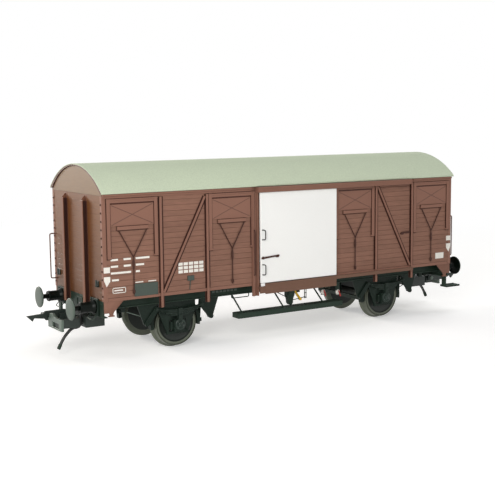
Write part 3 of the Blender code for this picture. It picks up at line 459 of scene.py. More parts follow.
hoseRubber = makeFinish("hoseRubber", (34, 36, 34), 0.6, cloud=0.12, grain=0.15, grainSize=0.4, bump=0.02)
deckTimber = makeFinish("deckTimber", (116, 90, 72), 0.75, cloud=0.12, grain=0.2, stretch=alongY,
                        bump=0.04)
ballastSteel = makeFinish("ballastSteel", (92, 94, 90), 0.5, metal=0.8, cloud=0.2, grain=0.1, bump=0.02)
brassCup = makeFinish("brassCup", (200, 168, 96), 0.35, metal=1.0, cloud=0.08, grain=0.06, bump=0.008)
leverYellow = makeFinish("leverYellow", (222, 176, 34), 0.45, **smoothPaint)
markWhite = makeFinish("markWhite", (234, 230, 222), 0.55, cloud=0.03, grain=0.04, bump=0.006)
plateGreen = makeFinish("plateGreen", (60, 70, 63), 0.55, cloud=0.08, grain=0.06, bump=0.01)
leverRed = makeFinish("leverRed", (176, 42, 36), 0.45, **smoothPaint)
handleBlack = makeFinish("handleBlack", (34, 33, 32), 0.42, cloud=0.1, grain=0.08, bump=0.008)
print("finishes made")


# Side walls: planks with a groove at every plank edge

body = {"sideY": 29.0, "sideBack": 27.8, "endX": 104.6, "endBack": 103.4, "wallLow": 26.6, "eaves": 75.1,
        "corner": 103.3, "doorLeft": -21.5, "doorRight": 22.9}


def plankSection(face, back, low, high, groove):
    # Wall section (across, z): the face steps in by the groove depth at each plank edge, the back is plain
    edges = np.arange(planks["low"], planks["high"], planks["pitch"])
    half = groove[0] / 2
    inward = np.sign(back - face) * groove[1]
    z = edges[:, None] + np.array((-half, -half / 3, half / 3, half))
    across = np.broadcast_to(face + inward * np.array((0, 1, 1, 0)), z.shape)
    grooves = np.stack((across.ravel(), z.ravel()), axis=-1)
    return np.vstack(((back, low), (face, low), grooves, (face, high), (back, high)))


sideSection = plankSection(-body["sideY"], -body["sideBack"], body["wallLow"], body["eaves"],
                           planks["sideGroove"])
makePair("sidePlanks_near_left", bar(sideSection, "x", -body["corner"], body["doorLeft"]), brownPlank,
         nodes=["side_wall_near_left"])
makePair("sidePlanks_near_right", bar(sideSection, "x", body["doorRight"], body["corner"]), brownPlank,
         nodes=["side_wall_near_right"])

posts = {"x": (-75.8, -51.2, 51.2, 75.8), "z": (21.5, 72.9), "base": (1.1, 1.65), "web": 0.3,
         "front": 0.58, "root": 28.7, "baseFace": 29.1, "under": 29.7, "face": 30.1}
braces = {"low": (74.7, 28.4), "high": (52.3, 71.9), "base": (1.0, 1.5), "web": 0.25, "front": 0.5,
          "root": 28.7, "baseFace": 29.1, "under": 29.55, "face": 29.9}


def webSection(s):
    # Rolled section (x, y) without its front flange: broad base on the wall and a thin web, both painted
    # shade
    # the base reaches further out on the right, as a painted shadow line
    left, right = s["base"]
    return ((-left, -s["root"]), (-left, -s["baseFace"]), (-s["web"], -s["baseFace"]),
            (-s["web"], -s["under"] - 0.1), (s["web"], -s["under"] - 0.1), (s["web"], -s["baseFace"]),
            (right, -s["baseFace"]), (right, -s["root"]))


def flange(s, z):
    # The front flange of the same section
    return sideBlock(around(0, s["front"]), (s["under"], s["face"]), z)


postPlaces = [(x, 0, 0) for x in posts["x"]]
# post webs in dark brown: painted shade round the flanges
makePair("postWebs_near", repeat(bar(webSection(posts), "z", *posts["z"]), postPlaces), darkBrownAndShade)
makePair("postFlanges_near", repeat(flange(posts, posts["z"]), postPlaces), brownSteel, edge=0.06,
         segments=1)
braceZ = (0, np.hypot(braces["high"][0] - braces["low"][0], braces["high"][1] - braces["low"][1]))
braceRuns = [((side * braces["low"][0], braces["low"][1]), (side * braces["high"][0], braces["high"][1]))
             for side in bothSides]
braceWeb, braceFlange = bar(webSection(braces), "z", *braceZ), flange(braces, braceZ)
makePair("braceWebs_near", joined(*[leaned(braceWeb, *run) for run in braceRuns]), darkBrownAndShade)
makePair("braceFlanges_near", joined(*[leaned(braceFlange, *run) for run in braceRuns]), brownSteel,
         edge=0.05, segments=1)

doorPost = {"x": (-25.9, -22.5), "flange": 0.9, "low": 21.5, "high": 73.0, "root": 28.7, "web": 29.35,
            "face": 30.05}
left, right = doorPost["x"]
channel = ((left, -doorPost["root"]), (left, -doorPost["face"]),
           (left + doorPost["flange"], -doorPost["face"]), (left + doorPost["flange"], -doorPost["web"]),
           (right - doorPost["flange"], -doorPost["web"]), (right - doorPost["flange"], -doorPost["face"]),
           (right, -doorPost["face"]), (right, -doorPost["root"]))
makePair("doorPost_near", bar(channel, "z", doorPost["low"], doorPost["high"]), brownSteel, edge=0.08)

trim = {"footZ": (26.65, 28.15), "footFace": 29.16, "footX": 102.3, "stepZ": (73.2, 74.1, 75.05),
        "stepFace": (29.45, 29.95), "cornice": ((-104.4, -26.0), (76.9, 104.4)), "root": 28.8, "gap": 0.1}
foot = ((-trim["footX"], body["doorLeft"] - 1), (body["doorRight"] + 1, trim["footX"]))
footStrips = [sideBlock(x, (trim["root"], trim["footFace"]), trim["footZ"]) for x in foot]
low, middle, high = trim["stepZ"]
corniceLine = ((-trim["root"], low), (-trim["stepFace"][0], low), (-trim["stepFace"][0], middle),
               (-trim["stepFace"][1], middle + trim["gap"]), (-trim["stepFace"][1], high),
               (-trim["root"], high))
cornices = [bar(corniceLine, "x", x[0], x[1]) for x in trim["cornice"]]
makePair("sideTrim_near", joined(*footStrips, *cornices), brownSteel, edge=0.06, segments=1)

gusset = {"outline": ((104.5, 26.9), (104.5, 21.4), (102.2, 21.4), (101.9, 20.9), (101.9, 19.9),
                      (100.2, 19.9), (100.2, 20.9), (99.8, 21.8), (95.4, 26.3), (95.4, 27.5),
                      (102.0, 27.5), (102.0, 26.9)), "y": (28.0, 28.95), "footX": (99.6, 102.5),
          "footZ": (19.7, 20.2), "footY": (27.9, 29.05)}
gussetPlate = bar(gusset["outline"], "y", *outward(gusset["y"]))
gussetFoot = sideBox(gusset, "foot")
cornerGusset = joined(gussetPlate, gussetFoot)
makePair("cornerGussets_near", joined(cornerGusset, mirrored(cornerGusset, "x")), brownSteel, edge=0.08)

hatch = {"x": (-89.9, -37.4, 37.4, 89.9), "half": 11.2, "z": (60.6, 71.0), "face": 29.32, "root": 28.7,
         "rib": 0.15, "ribFace": 29.42, "margin": 0.5, "guideOut": 12.7, "guideIn": 11.0, "guideWeb": 0.55,
         "guideZ": (46.0, 73.0), "guideUnder": 29.42, "guideFace": 29.72, "stop": 10.6,
         "stopZ": (46.0, 46.8), "lintelZ": (71.1, 72.2, 72.9), "lintelFace": (29.5, 29.8), "proud": 0.1,
         "crossReach": 10.2, "shade": 0.34, "shadeFace": 29.36}
panel = sideBlock(around(0, hatch["half"]), (hatch["root"], hatch["face"]), hatch["z"])
reach = hatch["crossReach"]
low, high = hatch["z"][0] + hatch["margin"], hatch["z"][1] - 2 * hatch["margin"]
ribSection = ((-hatch["rib"], -hatch["root"]), (-hatch["rib"], -hatch["face"]), (0, -hatch["ribFace"]),
              (hatch["rib"], -hatch["face"]), (hatch["rib"], -hatch["root"]))
rib = leaned(bar(ribSection, "z", 0, np.hypot(2 * reach, high - low)), (-reach, low), (reach, high))
hatchPlaces = [(x, 0, 0) for x in hatch["x"]]
makePair("hatchPanels_near", repeat(panel, hatchPlaces), brownSteel, edge=0.05, segments=1)
makePair("hatchCrosses_near", repeat(joined(rib, mirrored(rib, "x")), hatchPlaces), brownLine)
out, inner, under = -hatch["guideOut"], -hatch["guideIn"], -hatch["guideUnder"]
guideSection = ((out, -hatch["root"]), (out, -hatch["guideFace"]), (inner, -hatch["guideFace"]),
                (inner, under), (out + hatch["guideWeb"], under),
                (out + hatch["guideWeb"], -hatch["root"]))
guide = bar(guideSection, "z", *hatch["guideZ"])
stop = sideBlock((out + hatch["proud"], -hatch["stop"]),
                 (hatch["root"], hatch["guideFace"] + hatch["proud"]), hatch["stopZ"])
low, middle, high = hatch["lintelZ"]
lintelSection = ((-hatch["root"], low), (-hatch["lintelFace"][0], low), (-hatch["lintelFace"][0], middle),
                 (-hatch["lintelFace"][1], middle + hatch["proud"]), (-hatch["lintelFace"][1], high),
                 (-hatch["root"], high))
lintel = bar(lintelSection, "x", out - hatch["proud"], -out + hatch["proud"])
rails = joined(guide, stop, mirrored(joined(guide, stop), "x"), lintel)
# painted shade: dark strips round the guides and lintel, over the hatch edges
shade, shadeY = hatch["shade"], (hatch["root"], hatch["shadeFace"])  # dark lines round guides and lintel
shadeOut, shadeIn = hatch["guideOut"] + shade, hatch["guideIn"] - shade
sideShade = sideBlock((-shadeOut, -shadeIn), shadeY, (hatch["guideZ"][0] - shade, high))
headShade = sideBlock((-shadeOut, shadeOut), shadeY, (low - 2 * shade, high + shade))
hatchShadeStrips = joined(sideShade, mirrored(sideShade, "x"), headShade)
makePair("hatchRecess_near", repeat(hatchShadeStrips, hatchPlaces), darkBrownAndShade)
makePair("hatchGuides_near", repeat(rails, hatchPlaces), brownSteel, edge=0.05, segments=1)

rods = {"half": 7.1, "top": 58.8, "join": 46.1, "low": 29.0, "barZ": (58.8, 60.4), "y": -29.55,
        "radius": 0.24, "barReach": 7.8, "barFace": 29.85, "collar": 0.48, "collarZ": (40.6, 45.4),
        "knob": 0.6, "knobZ": (29.4, 31.2), "root": 28.8, "shadeFace": 29.36, "shadeUnder": 0.45,
        "shadeOver": 0.2}
low, high = rods["barZ"]
barSection = ((-rods["root"], low), (-rods["barFace"], low), (-rods["barFace"], high),
              (-rods["root"], high))
armRoute = ((-rods["half"], rods["y"], rods["top"]),
            (-rods["half"] * 0.5, rods["y"], (rods["top"] + rods["join"]) / 2),
            (0, rods["y"], rods["join"]))
arm = wire(armRoute, rods["radius"], 8)
pullStem = wire(((0, rods["y"], rods["join"] + 0.2), (0, rods["y"], rods["low"])), rods["radius"], 8)
collarOutline = ((0.0, 0.3), (0.25, 1.0), (0.75, 1.0), (1.0, 0.3))


def sleeve(span, radius, ends=0.6):
    # A short round sleeve on the stem, drawn in at both ends
    outline = [(span[0] + a * (span[1] - span[0]), radius * (ends + (1 - ends) * (b > 0.5)))
               for a, b in collarOutline]
    return turned(outline, "z", (0, rods["y"]), 10)


pullBar = bar(barSection, "x", *around(0, rods["barReach"]))
# painted shade: a dark strip on the wall round the pull bar
barShade = sideBlock(around(0, rods["barReach"]), (rods["root"], rods["shadeFace"]),
                     (low - rods["shadeUnder"], high + rods["shadeOver"]))
makePair("hatchBars_near", repeat(pullBar, hatchPlaces), brownSteel)
# the rods are dark brown as painted shade
pullGearAndShade = joined(barShade, arm, mirrored(arm, "x"), pullStem,
                  sleeve(rods["collarZ"], rods["collar"]), sleeve(rods["knobZ"], rods["knob"]))
makePair("hatchRods_near", repeat(pullGearAndShade, hatchPlaces), darkBrownAndShade)
print("side walls made")


# End walls

ends = {"gableLow": 74.4, "low": 26.8, "half": 28.9, "springHalf": 28.6, "springZ": 75.0, "crown": 87.0,
        "arcSteps": 64, "bolt": 0.5, "boltHeight": 0.45, "boltY": 28.05, "boltFirst": 29.2,
        "boltStep": 3.75, "boltCount": 12}


def roofArc(half, low, high, steps):
    # Circle through both springing points and the crown: radius from half the span and the rise
    rise = high - low
    radius = (half * half + rise * rise) / (2 * rise)
    swing = np.degrees(np.arcsin(half / radius))
    return circle((0, high - radius), radius, steps, 90 - swing, 90 + swing)


endSection = plankSection(-body["endX"], -body["endBack"], ends["low"], ends["gableLow"],
                          planks["endGroove"])
makePair("endPlanks_left", bar(endSection, "y", *around(0, ends["half"])), brownEnd,
         nodes=["end_wall_left"])
gableLine = np.vstack(((-ends["half"], ends["gableLow"]), (ends["half"], ends["gableLow"]),
                       (ends["half"], ends["springZ"]),
                       roofArc(ends["springHalf"], ends["springZ"], ends["crown"], ends["arcSteps"]),
                       (-ends["half"], ends["springZ"])))
makePair("endGable_left", bar(gableLine, "x", -body["endX"], -body["endBack"]), brownGableLit, edge=0.12)

cornerIron = {"leg": 1.9, "thick": 0.2, "proud": 0.15, "low": 26.7, "high": 74.3}
leg, thick = cornerIron["leg"], cornerIron["thick"]
outX, outY = -body["endX"] - cornerIron["proud"], -body["sideY"] - cornerIron["proud"]
ironLine = ((outX, outY), (outX + leg, outY), (outX + leg, outY + thick), (outX + thick, outY + thick),
            (outX + thick, outY + leg), (outX, outY + leg))
nearAngle = bar(ironLine, "z", cornerIron["low"], cornerIron["high"])
makePair("cornerAngles_left", joined(nearAngle, mirrored(nearAngle, "y")), brownSteel, edge=0.07,
         segments=1)
boltZ = ends["boltFirst"] + ends["boltStep"] * np.arange(ends["boltCount"])
boltPlaces = [(outX, side * ends["boltY"], z) for side in bothSides for z in boltZ]
makePair("cornerBolts_left", studs(boltPlaces, "x", -1, ends["bolt"], ends["boltHeight"]), darkBrownAndShade)

endPosts = {"y": (-11.6, 11.6), "half": 1.2, "low": 22.0, "shoulder": 71.4, "top": 74.2, "root": 104.4,
            "face": 107.0, "flange": 0.4, "base": 0.3, "web": 0.65, "shadeLining": 0.12}
root, face = endPosts["root"], endPosts["face"]
x = np.array((root, face, face, face - endPosts["flange"], face - endPosts["flange"],
              root + endPosts["base"], root + endPosts["base"], root))
y = np.array((1, 1, -1, -1, endPosts["web"], endPosts["web"], -1, -1)) * endPosts["half"]
slope = (endPosts["top"] - endPosts["shoulder"]) / (face - root)
postTop = endPosts["top"] - (x - root) * slope  # the head falls away towards the front flange
endPost = bar(np.stack((-x, y), axis=-1), "z", endPosts["low"], postTop)
endPostPlaces = [(0, y, 0) for y in endPosts["y"]]
makePair("endPosts_left", repeat(endPost, endPostPlaces), brownPost, edge=0.08)
# painted shade: dark linings on the web and floor inside each end post's channel
webY, floorX = endPosts["web"] * endPosts["half"], -root - endPosts["base"]
shadeLiningZ = (endPosts["low"] + 0.05, endPosts["shoulder"] - 0.1)
webShadeLining = block((-endPosts["face"] + endPosts["flange"], floorX),
                  (webY - endPosts["shadeLining"], webY + 0.05), shadeLiningZ)
floorShadeLining = block((floorX - endPosts["shadeLining"], floorX + 0.05), (-endPosts["half"] * 0.98, webY),
                    shadeLiningZ)
makePair("endPostLinings_left", repeat(joined(webShadeLining, floorShadeLining), endPostPlaces), darkBrownAndShade)

lampIron = {"y": 23.0, "z": (33.0, 35.6), "half": 1.0, "prongHalf": 0.7, "prongTop": 36.2, "armTop": 33.5,
            "plate": 0.35, "sunk": 0.2, "prong": (0.9, 1.25)}
wall, bottom = body["endX"], lampIron["z"][0]
acrossIron = around(0, lampIron["half"])
lampPlate = endBlock((wall - lampIron["sunk"], wall + lampIron["plate"]), acrossIron, lampIron["z"])
lampArm = endBlock((wall, wall + lampIron["prong"][1]), acrossIron, (bottom, lampIron["armTop"]))
lampProng = endBlock((wall + lampIron["prong"][0], wall + lampIron["prong"][1]),
                     around(0, lampIron["prongHalf"]), (bottom, lampIron["prongTop"]))
makePair("lampIrons_left", repeat(joined(lampPlate, lampArm, lampProng),
                                  [(0, side * lampIron["y"], 0) for side in bothSides]), gearBlack,
         slot="black_frame", edge=0.08)

rail = {"y": 26.4, "face": 107.9, "z": (31.0, 53.0), "root": 104.4, "radius": 0.32, "bend": 0.9}
railRoute = [(-rail["root"], rail["y"], rail["z"][0]), (-rail["face"], rail["y"], rail["z"][0]),
             (-rail["face"], rail["y"], rail["z"][1]), (-rail["root"], rail["y"], rail["z"][1])]
makePair("endHandrail_left", wire(rounded(railRoute, rail["bend"]), rail["radius"]), brownLine,
         slot="black_frame", nodes=["end_handrail_left"])
print("end walls made")


# Roof

roof = {"half": 30.4, "edge": 75.9, "crown": 88.0, "length": 105.3, "under": 75.2, "seat": 28.8,
        "inner": 87.1, "steps": 97, "sheet": 0.35, "boardIn": 0.15}
outer = roofArc(roof["half"], roof["edge"], roof["crown"], roof["steps"])
sheet = roofArc(roof["half"] - roof["sheet"], roof["edge"] - 0.1, roof["crown"] - roof["sheet"],
                roof["steps"])
hollow = roofArc(roof["seat"], roof["under"], roof["inner"], roof["steps"])
rim = roof["half"] - roof["sheet"]
roofLine = np.vstack((outer, (-roof["half"], roof["under"]), (-rim, roof["under"]), sheet[::-1],
                      (rim, roof["under"]), (roof["half"], roof["under"])))
makePiece("roofSkin", bar(roofLine, "x", *around(0, roof["length"])), roofSand, slot="pale_roof",
          nodes=["roof"], edge=0.1)
boardLine = np.vstack((sheet, (-rim, roof["under"] + 0.05), hollow[::-1], (rim, roof["under"] + 0.05)))
boardEnd = roof["length"] - roof["boardIn"]
makePiece("roofBoard", bar(boardLine, "x", -boardEnd, boardEnd), brownLine)
print("roof made")


# Sliding doors with their rail and sill

door = {"x": (-22.4, 23.7), "z": (27.9, 74.0), "y": (30.5, 31.7)}
doorPanel = sideBlock(door["x"], door["y"], door["z"])
makePair("doorPanel_near", doorPanel, doorPale, body="door_near", slot="pale_door", nodes=["door_near"],
         edge=0.22)

handle = {"x": -20.5, "z": ((32.0, 37.0), (49.3, 54.0)), "face": 33.0, "radius": 0.25, "bend": 0.8,
          "root": 31.4, "lean": 1.2}
handleRoot = (handle["x"] - handle["lean"], -handle["root"])
loops = [rounded(((*handleRoot, z[0]), (handle["x"], -handle["face"], z[0]),
                  (handle["x"], -handle["face"], z[1]), (*handleRoot, z[1])), handle["bend"])
         for z in handle["z"]]
makePair("doorHandles_near", joined(*[wire(loop, handle["radius"]) for loop in loops]), handleBlack,
         body="door_near", slot="black_frame")

latch = {"x": (-22.2, -11.9), "z": 40.2, "rise": 0.7, "y": (31.6, 32.3), "half": 0.42, "tipHalf": 0.75,
         "pivot": (-21.3, 40.3), "bossR": 0.65, "bossTop": 0.5, "bossY": (-32.45, -32.3, -31.5)}
root, tip = latch["x"]
tipZ = latch["z"] + latch["rise"]
latchLine = ((root, latch["z"] - latch["half"]), (tip - 2.4, tipZ - latch["half"]),
             (tip - 1.6, tipZ - latch["tipHalf"]), (tip - 0.4, tipZ - latch["tipHalf"]), (tip, tipZ),
             (tip, tipZ + latch["half"]), (root, latch["z"] + latch["half"]))
lever = bar(latchLine, "y", *outward(latch["y"]))
bossLine = list(zip(latch["bossY"], (latch["bossTop"], latch["bossR"], latch["bossR"])))
boss = turned(bossLine, "y", latch["pivot"], 20)
makePair("doorLatch_near", joined(lever, boss), darkBrownAndShade, body="door_near", slot="black_frame", edge=0.08)

topRail = {"x": (-24.0, 73.6), "z": (72.4, 75.0), "y": (32.0, 32.6), "flange": 74.4, "root": 29.1,
           "lintelX": (-21.4, 22.8), "lintelZ": (72.5, 75.05), "lintelY": (27.8, 29.4),
           "capX": (-23.95, -23.4), "capY": (29.1, 32.5), "capZ": (72.5, 74.9)}
railLine = ((-topRail["root"], topRail["z"][1]), (-topRail["root"], topRail["flange"]),
            (-topRail["y"][0], topRail["flange"]), (-topRail["y"][0], topRail["z"][0]),
            (-topRail["y"][1], topRail["z"][0]), (-topRail["y"][1], topRail["z"][1]))
doorLintel = sideBox(topRail, "lintel")
railCap = sideBox(topRail, "cap")
makePair("doorTopRail_near", joined(bar(railLine, "x", *topRail["x"]), doorLintel, railCap), brownSteel,
         nodes=["door_top_rail_near"], edge=0.12)

sill = {"x": (-20.1, 23.3), "z": (22.4, 27.6), "y": (29.1, 32.2), "lipX": 75.0, "lipZ": (25.9, 27.5),
        "lipY": 30.2, "thresholdX": (-21.3, 22.7), "thresholdZ": (24.0, 27.5), "earX": (-23.4, -20.0),
        "earZ": (22.9, 26.3), "earBack": 30.4, "thresholdY": (27.85, 29.6), "notchX": (-22.3, -20.1),
        "notchY": (31.2, 31.6), "notchZ": (26.0, 27.75), "sheet": 0.5, "fold": 0.8, "bend": (0.3, 0.35),
        "lipFold": 0.45}
front, back = outward(sill["y"])


def foldedPlate(back, low, high):
    # Section (y, z) of a plate folded back along its top edge
    inside, under = front + sill["sheet"], high - sill["fold"]
    return ((back, high), (front + sill["bend"][0], high), (front, high - sill["bend"][1]), (front, low),
            (inside, low), (inside, under), (back, under))


sillFront = bar(foldedPlate(back, *sill["z"]), "x", *sill["x"])
sillEar = bar(foldedPlate(-sill["earBack"], *sill["earZ"]), "x", *sill["earX"])
threshold = sideBox(sill, "threshold")
low, high = sill["lipZ"]
outside, inside, under = front + 0.05, front + sill["sheet"], high - sill["lipFold"]
lipLine = ((outside, low), (outside, high), (-sill["lipY"], high), (-sill["lipY"], under), (inside, under),
           (inside, low))
runningLip = bar(lipLine, "x", sill["x"][1] - 0.3, sill["lipX"])
makePair("doorSill_near", joined(sillFront, sillEar, threshold, runningLip), brownSill,
         nodes=["door_sill_near"], edge=0.1)
makePair("notchPlate_near", sideBox(sill, "notch"), doorPale, slot="pale_door")
print("doors made")


# Underframe

headstock = {"x": (102.5, 104.5), "half": 27.6, "z": (19.0, 26.7), "flange": 0.5, "rivet": 0.32,
             "rivetRise": 0.2, "rivetY": (-26.2, -24.8, -13.6, -9.2, 9.2, 13.6, 24.8, 26.2),
             "rivetZ": (20.2, 25.4)}
front, back = outward(headstock["x"])
web = front + headstock["flange"]
low, high = headstock["z"]
inLow, inHigh = low + headstock["flange"], high - headstock["flange"]
beamLine = ((back, low), (front, low), (front, high), (back, high), (back, inHigh), (web, inHigh),
            (web, inLow), (back, inLow))
beam = bar(beamLine, "y", *around(0, headstock["half"]))
rivetPlaces = [(front, y, z) for y in headstock["rivetY"] for z in headstock["rivetZ"]]
rivets = studs(rivetPlaces, "x", -1, headstock["rivet"], headstock["rivetRise"])
step = {"x": (103.4, 113.4), "y": (22.8, 28.0), "z": (13.1, 14.2), "rim": 0.45, "strapX": (103.3, 104.3),
        "strapY": (24.0, 26.8), "strapZ": (13.5, 19.4), "bars": 5, "barHalf": 0.35, "barY": (23.1, 27.7),
        "barZ": (13.5, 14.15), "barIn": 0.8, "edgeY": ((22.8, 23.3), (27.5, 28.0))}
tread = endBlock(step["x"], step["y"], (step["z"][0], step["z"][1] - step["rim"]))
barX = np.linspace(-step["x"][1] + step["barIn"], -step["x"][0] - step["barIn"], step["bars"])
gratingBar = block(around(0, step["barHalf"]), step["barY"], step["barZ"])
edgeBars = [endBlock(step["x"], y, step["z"]) for y in step["edgeY"]]
strap = endBox(step, "strap")
makePair("headstock_left", joined(beam, rivets), frameBlack, slot="black_frame", nodes=["headstock_left"],
         edge=0.1)
makePair("cornerStep_left", joined(tread, repeat(gratingBar, [(x, 0, 0) for x in barX]), *edgeBars, strap),
         frameBlack, slot="black_frame", edge=0.08, segments=1)

drawGear = {"half": 4.4, "z": (19.7, 25.4), "face": 104.95, "hole": 1.7, "holeZ": (21.2, 24.6),
            "depth": 0.6, "socketX": (104.49, 104.65), "socketHalf": 1.68, "socketZ": (21.22, 24.58)}


def boxLoop(x, half, z):
    # Four corners of an upright rectangle across the wagon
    return [(x, -half, z[0]), (x, half, z[0]), (x, half, z[1]), (x, -half, z[1])]


def squareRing(half, span, hole, holeSpan, x, depth):
    # Loops of a pierced plate: outer back, outer front, hole front, hole bottom
    return skin(np.array((boxLoop(x + depth, half, span), boxLoop(x, half, span),
                          boxLoop(x, hole, holeSpan), boxLoop(x + depth * 0.8, hole, holeSpan))))


drawPlate = squareRing(drawGear["half"], drawGear["z"], drawGear["hole"], drawGear["holeZ"],
                       -drawGear["face"], drawGear["depth"])
makePair("drawPlate_left", drawPlate, frameBlack, slot="black_frame", edge=0.08)
drawHole = endBlock(drawGear["socketX"], around(0, drawGear["socketHalf"]), drawGear["socketZ"])
makePair("drawSocket_left", drawHole, gearBlack, slot="black_frame")

grab = {"y": 19.45, "half": 3.0, "root": 104.2, "rootZ": 20.2, "face": 107.6, "z": 17.9, "radius": 0.22,
        "bend": 0.9}
grabLeg = ((-grab["root"], grab["rootZ"]), (-grab["root"] - 1.6, grab["rootZ"] - 0.4),
           (-grab["face"], grab["z"]))
grabRoute = [(x, -grab["half"], z) for x, z in grabLeg] + [(x, grab["half"], z) for x, z in grabLeg[::-1]]
grabWire = wire(rounded(grabRoute, grab["bend"]), grab["radius"], 8)
makePair("grabWires_left", repeat(grabWire, [(0, side * grab["y"], 0) for side in bothSides]), frameBlack,
         slot="black_frame")

solebar = {"y": (21.0, 23.0), "z": (22.0, 26.9), "half": 102.4, "flange": 0.55, "taper": 0.1, "web": 22.55,
           "sunk": 0.3, "box": ((3.2, 18.4), (2.3, 16.6), (2.2, 14.5), (1.5, 13.6), (0.9, 13.4),
                                (0.3, 13.6), (-0.4, 14.5), (-0.6, 16.6), (-1.4, 18.4)),
           "boxX": (-1.4, 3.2), "boxY": (20.7, 23.4), "lidX": (-0.9, 2.7), "lidY": (23.4, 23.75),
           "lidZ": (18.6, 21.4), "tabX": (21.6, 31.2), "tabHalf": 0.8, "tabY": (21.8, 22.6),
           "tabLow": 16.4}
front, back = outward(solebar["y"])
low, high = solebar["z"]
inLow, inHigh = low + solebar["flange"], high - solebar["flange"]
soleLine = ((back, low), (front, low), (front, inLow), (-solebar["web"], inLow + solebar["taper"]),
            (-solebar["web"], inHigh - solebar["taper"]), (front, inHigh), (front, high), (back, high))
top = low + solebar["sunk"]
boxLine = [(x, top) for x in solebar["boxX"]] + list(solebar["box"])
changeBox = bar(boxLine, "y", *outward(solebar["boxY"]))
boxLid = sideBox(solebar, "lid")
tabs = [sideBlock(around(x, solebar["tabHalf"]), solebar["tabY"], (solebar["tabLow"], top))
        for x in solebar["tabX"]]
makePair("solebar_near", joined(bar(soleLine, "x", *around(0, solebar["half"])), changeBox, boxLid, *tabs),
         frameBlack, slot="black_frame", nodes=["solebar_near"], edge=0.08)

linkRods = {"y": -22.2, "radius": 0.22,
            "routes": (((-9.3, 21.9), (-0.8, 17.4)), ((2.0, 15.6), (10.7, 16.6)),
                       ((10.2, 22.1), (10.2, 15.8)), ((11.2, 22.1), (11.2, 15.8)),
                       ((10.0, 16.0), (11.4, 16.0)), ((10.0, 18.6), (11.4, 18.6))), "valveX": (4.6, 7.6),
            "valveY": (20.8, 21.7), "valveZ": (19.2, 22.2)}
rodWires = [wire([(x, linkRods["y"], z) for x, z in route], linkRods["radius"], 8)
            for route in linkRods["routes"]]
valveBox = sideBox(linkRods, "valve")
makePair("linkRods_near", joined(*rodWires, valveBox), gearBlack, slot="black_frame")

plates = {"radius": 1.35, "places": ((21.6, 18.0), (31.2, 17.0)), "y": (22.5, 22.95, 23.05), "round": 0.15,
          "lever": 0.35, "leverRun": ((0.3, -23.2, 0.9), (0.9, -23.35, -0.8), (1.3, -23.35, -2.2))}
discRadius = (plates["radius"], plates["radius"], plates["radius"] - plates["round"])
discLine = [(-y, radius) for y, radius in zip(plates["y"], discRadius)][::-1]
discs = [turned(discLine, "y", place, 24) for place in plates["places"]]
makePair("leverPlates_near", joined(*discs), markWhite, slot="pale_door")
swings = [wire([(x + dx, y, z + dz) for dx, y, dz in plates["leverRun"]], plates["lever"], 8)
          for x, z in plates["places"]]
makePair("plateLevers_near", joined(*swings), leverRed, slot="yellow_lever")

release = {"x": (-34.0, -24.0), "y": -22.6, "z": (22.1, 20.4), "radius": 0.25, "bend": 0.8}
(left, right), (top, bottom) = release["x"], release["z"]
releaseRoute = [(x, release["y"], z) for x, z in ((left, top), (left, bottom), (right, bottom),
                                                  (right, top))]
makePair("releaseWire_near", wire(rounded(releaseRoute, release["bend"]), release["radius"], 8),
         frameBlack, slot="black_frame")

board = {"half": 32.0, "y": (19.9, 25.9), "z": (10.3, 12.9), "grooves": 3, "hangerX": (-28.2, -3.3, 21.5),
         "hangerTop": (8.0, 24.3), "radius": 0.42}
grooveY = -np.linspace(board["y"][0], board["y"][1], board["grooves"] + 2)[1:-1][::-1]
grooveShape = np.array(((-0.2, 0), (-0.1, -0.25), (0.1, -0.25), (0.2, 0)))
topLine = (np.stack((grooveY, np.full(len(grooveY), board["z"][1])), axis=-1)[:, None]
           + grooveShape).reshape(-1, 2)
boardLine = np.vstack(((-board["y"][1], board["z"][0]), (-board["y"][1], board["z"][1]), topLine,
                       (-board["y"][0], board["z"][1]), (-board["y"][0], board["z"][0])))
makePiece("stepBoard", bar(boardLine, "x", *around(0, board["half"])), frameBlack, slot="black_frame",
          nodes=["step_board"], edge=0.08)
footY = -(board["y"][0] + board["y"][1]) / 2
hangerWires = [wire(((x, -board["hangerTop"][0], board["hangerTop"][1]), (x, footY, board["z"][1] - 0.3)),
                    board["radius"]) for x in board["hangerX"]]
makePiece("stepHangers", joined(*hangerWires), frameBlack, slot="black_frame")
dress("floor_deck", deckTimber)
dress("ballast_plate", ballastSteel)
print("underframe made")


# Axle guards, about the axle's middle on the near side

guard = {"y": (20.1, 20.9), "line": ((-9.9, 26.6), (-9.9, 16.9), (-5.9, 7.2), (-4.5, 7.2), (-4.5, 13.0),
                                     (4.5, 13.0), (4.5, 7.2), (5.9, 7.2), (9.9, 16.9), (9.9, 26.6)),
         "tieX": (-6.0, 6.0), "tieZ": (6.2, 7.4), "tieY": (20.0, 21.1), "boltX": (-6.6, -3.0, 3.0, 6.6),
         "boltZ": (20.0, 21.4), "bolt": 0.35, "boltRise": 0.25}
guardPlate = bar(guard["line"], "y", *outward(guard["y"]))
tie = sideBox(guard, "tie")
guardBoltPlaces = [(x, -guard["y"][1], z) for x in guard["boltX"] for z in guard["boltZ"]]
ironwork = joined(guardPlate, tie, studs(guardBoltPlaces, "y", -1, guard["bolt"], guard["boltRise"]))

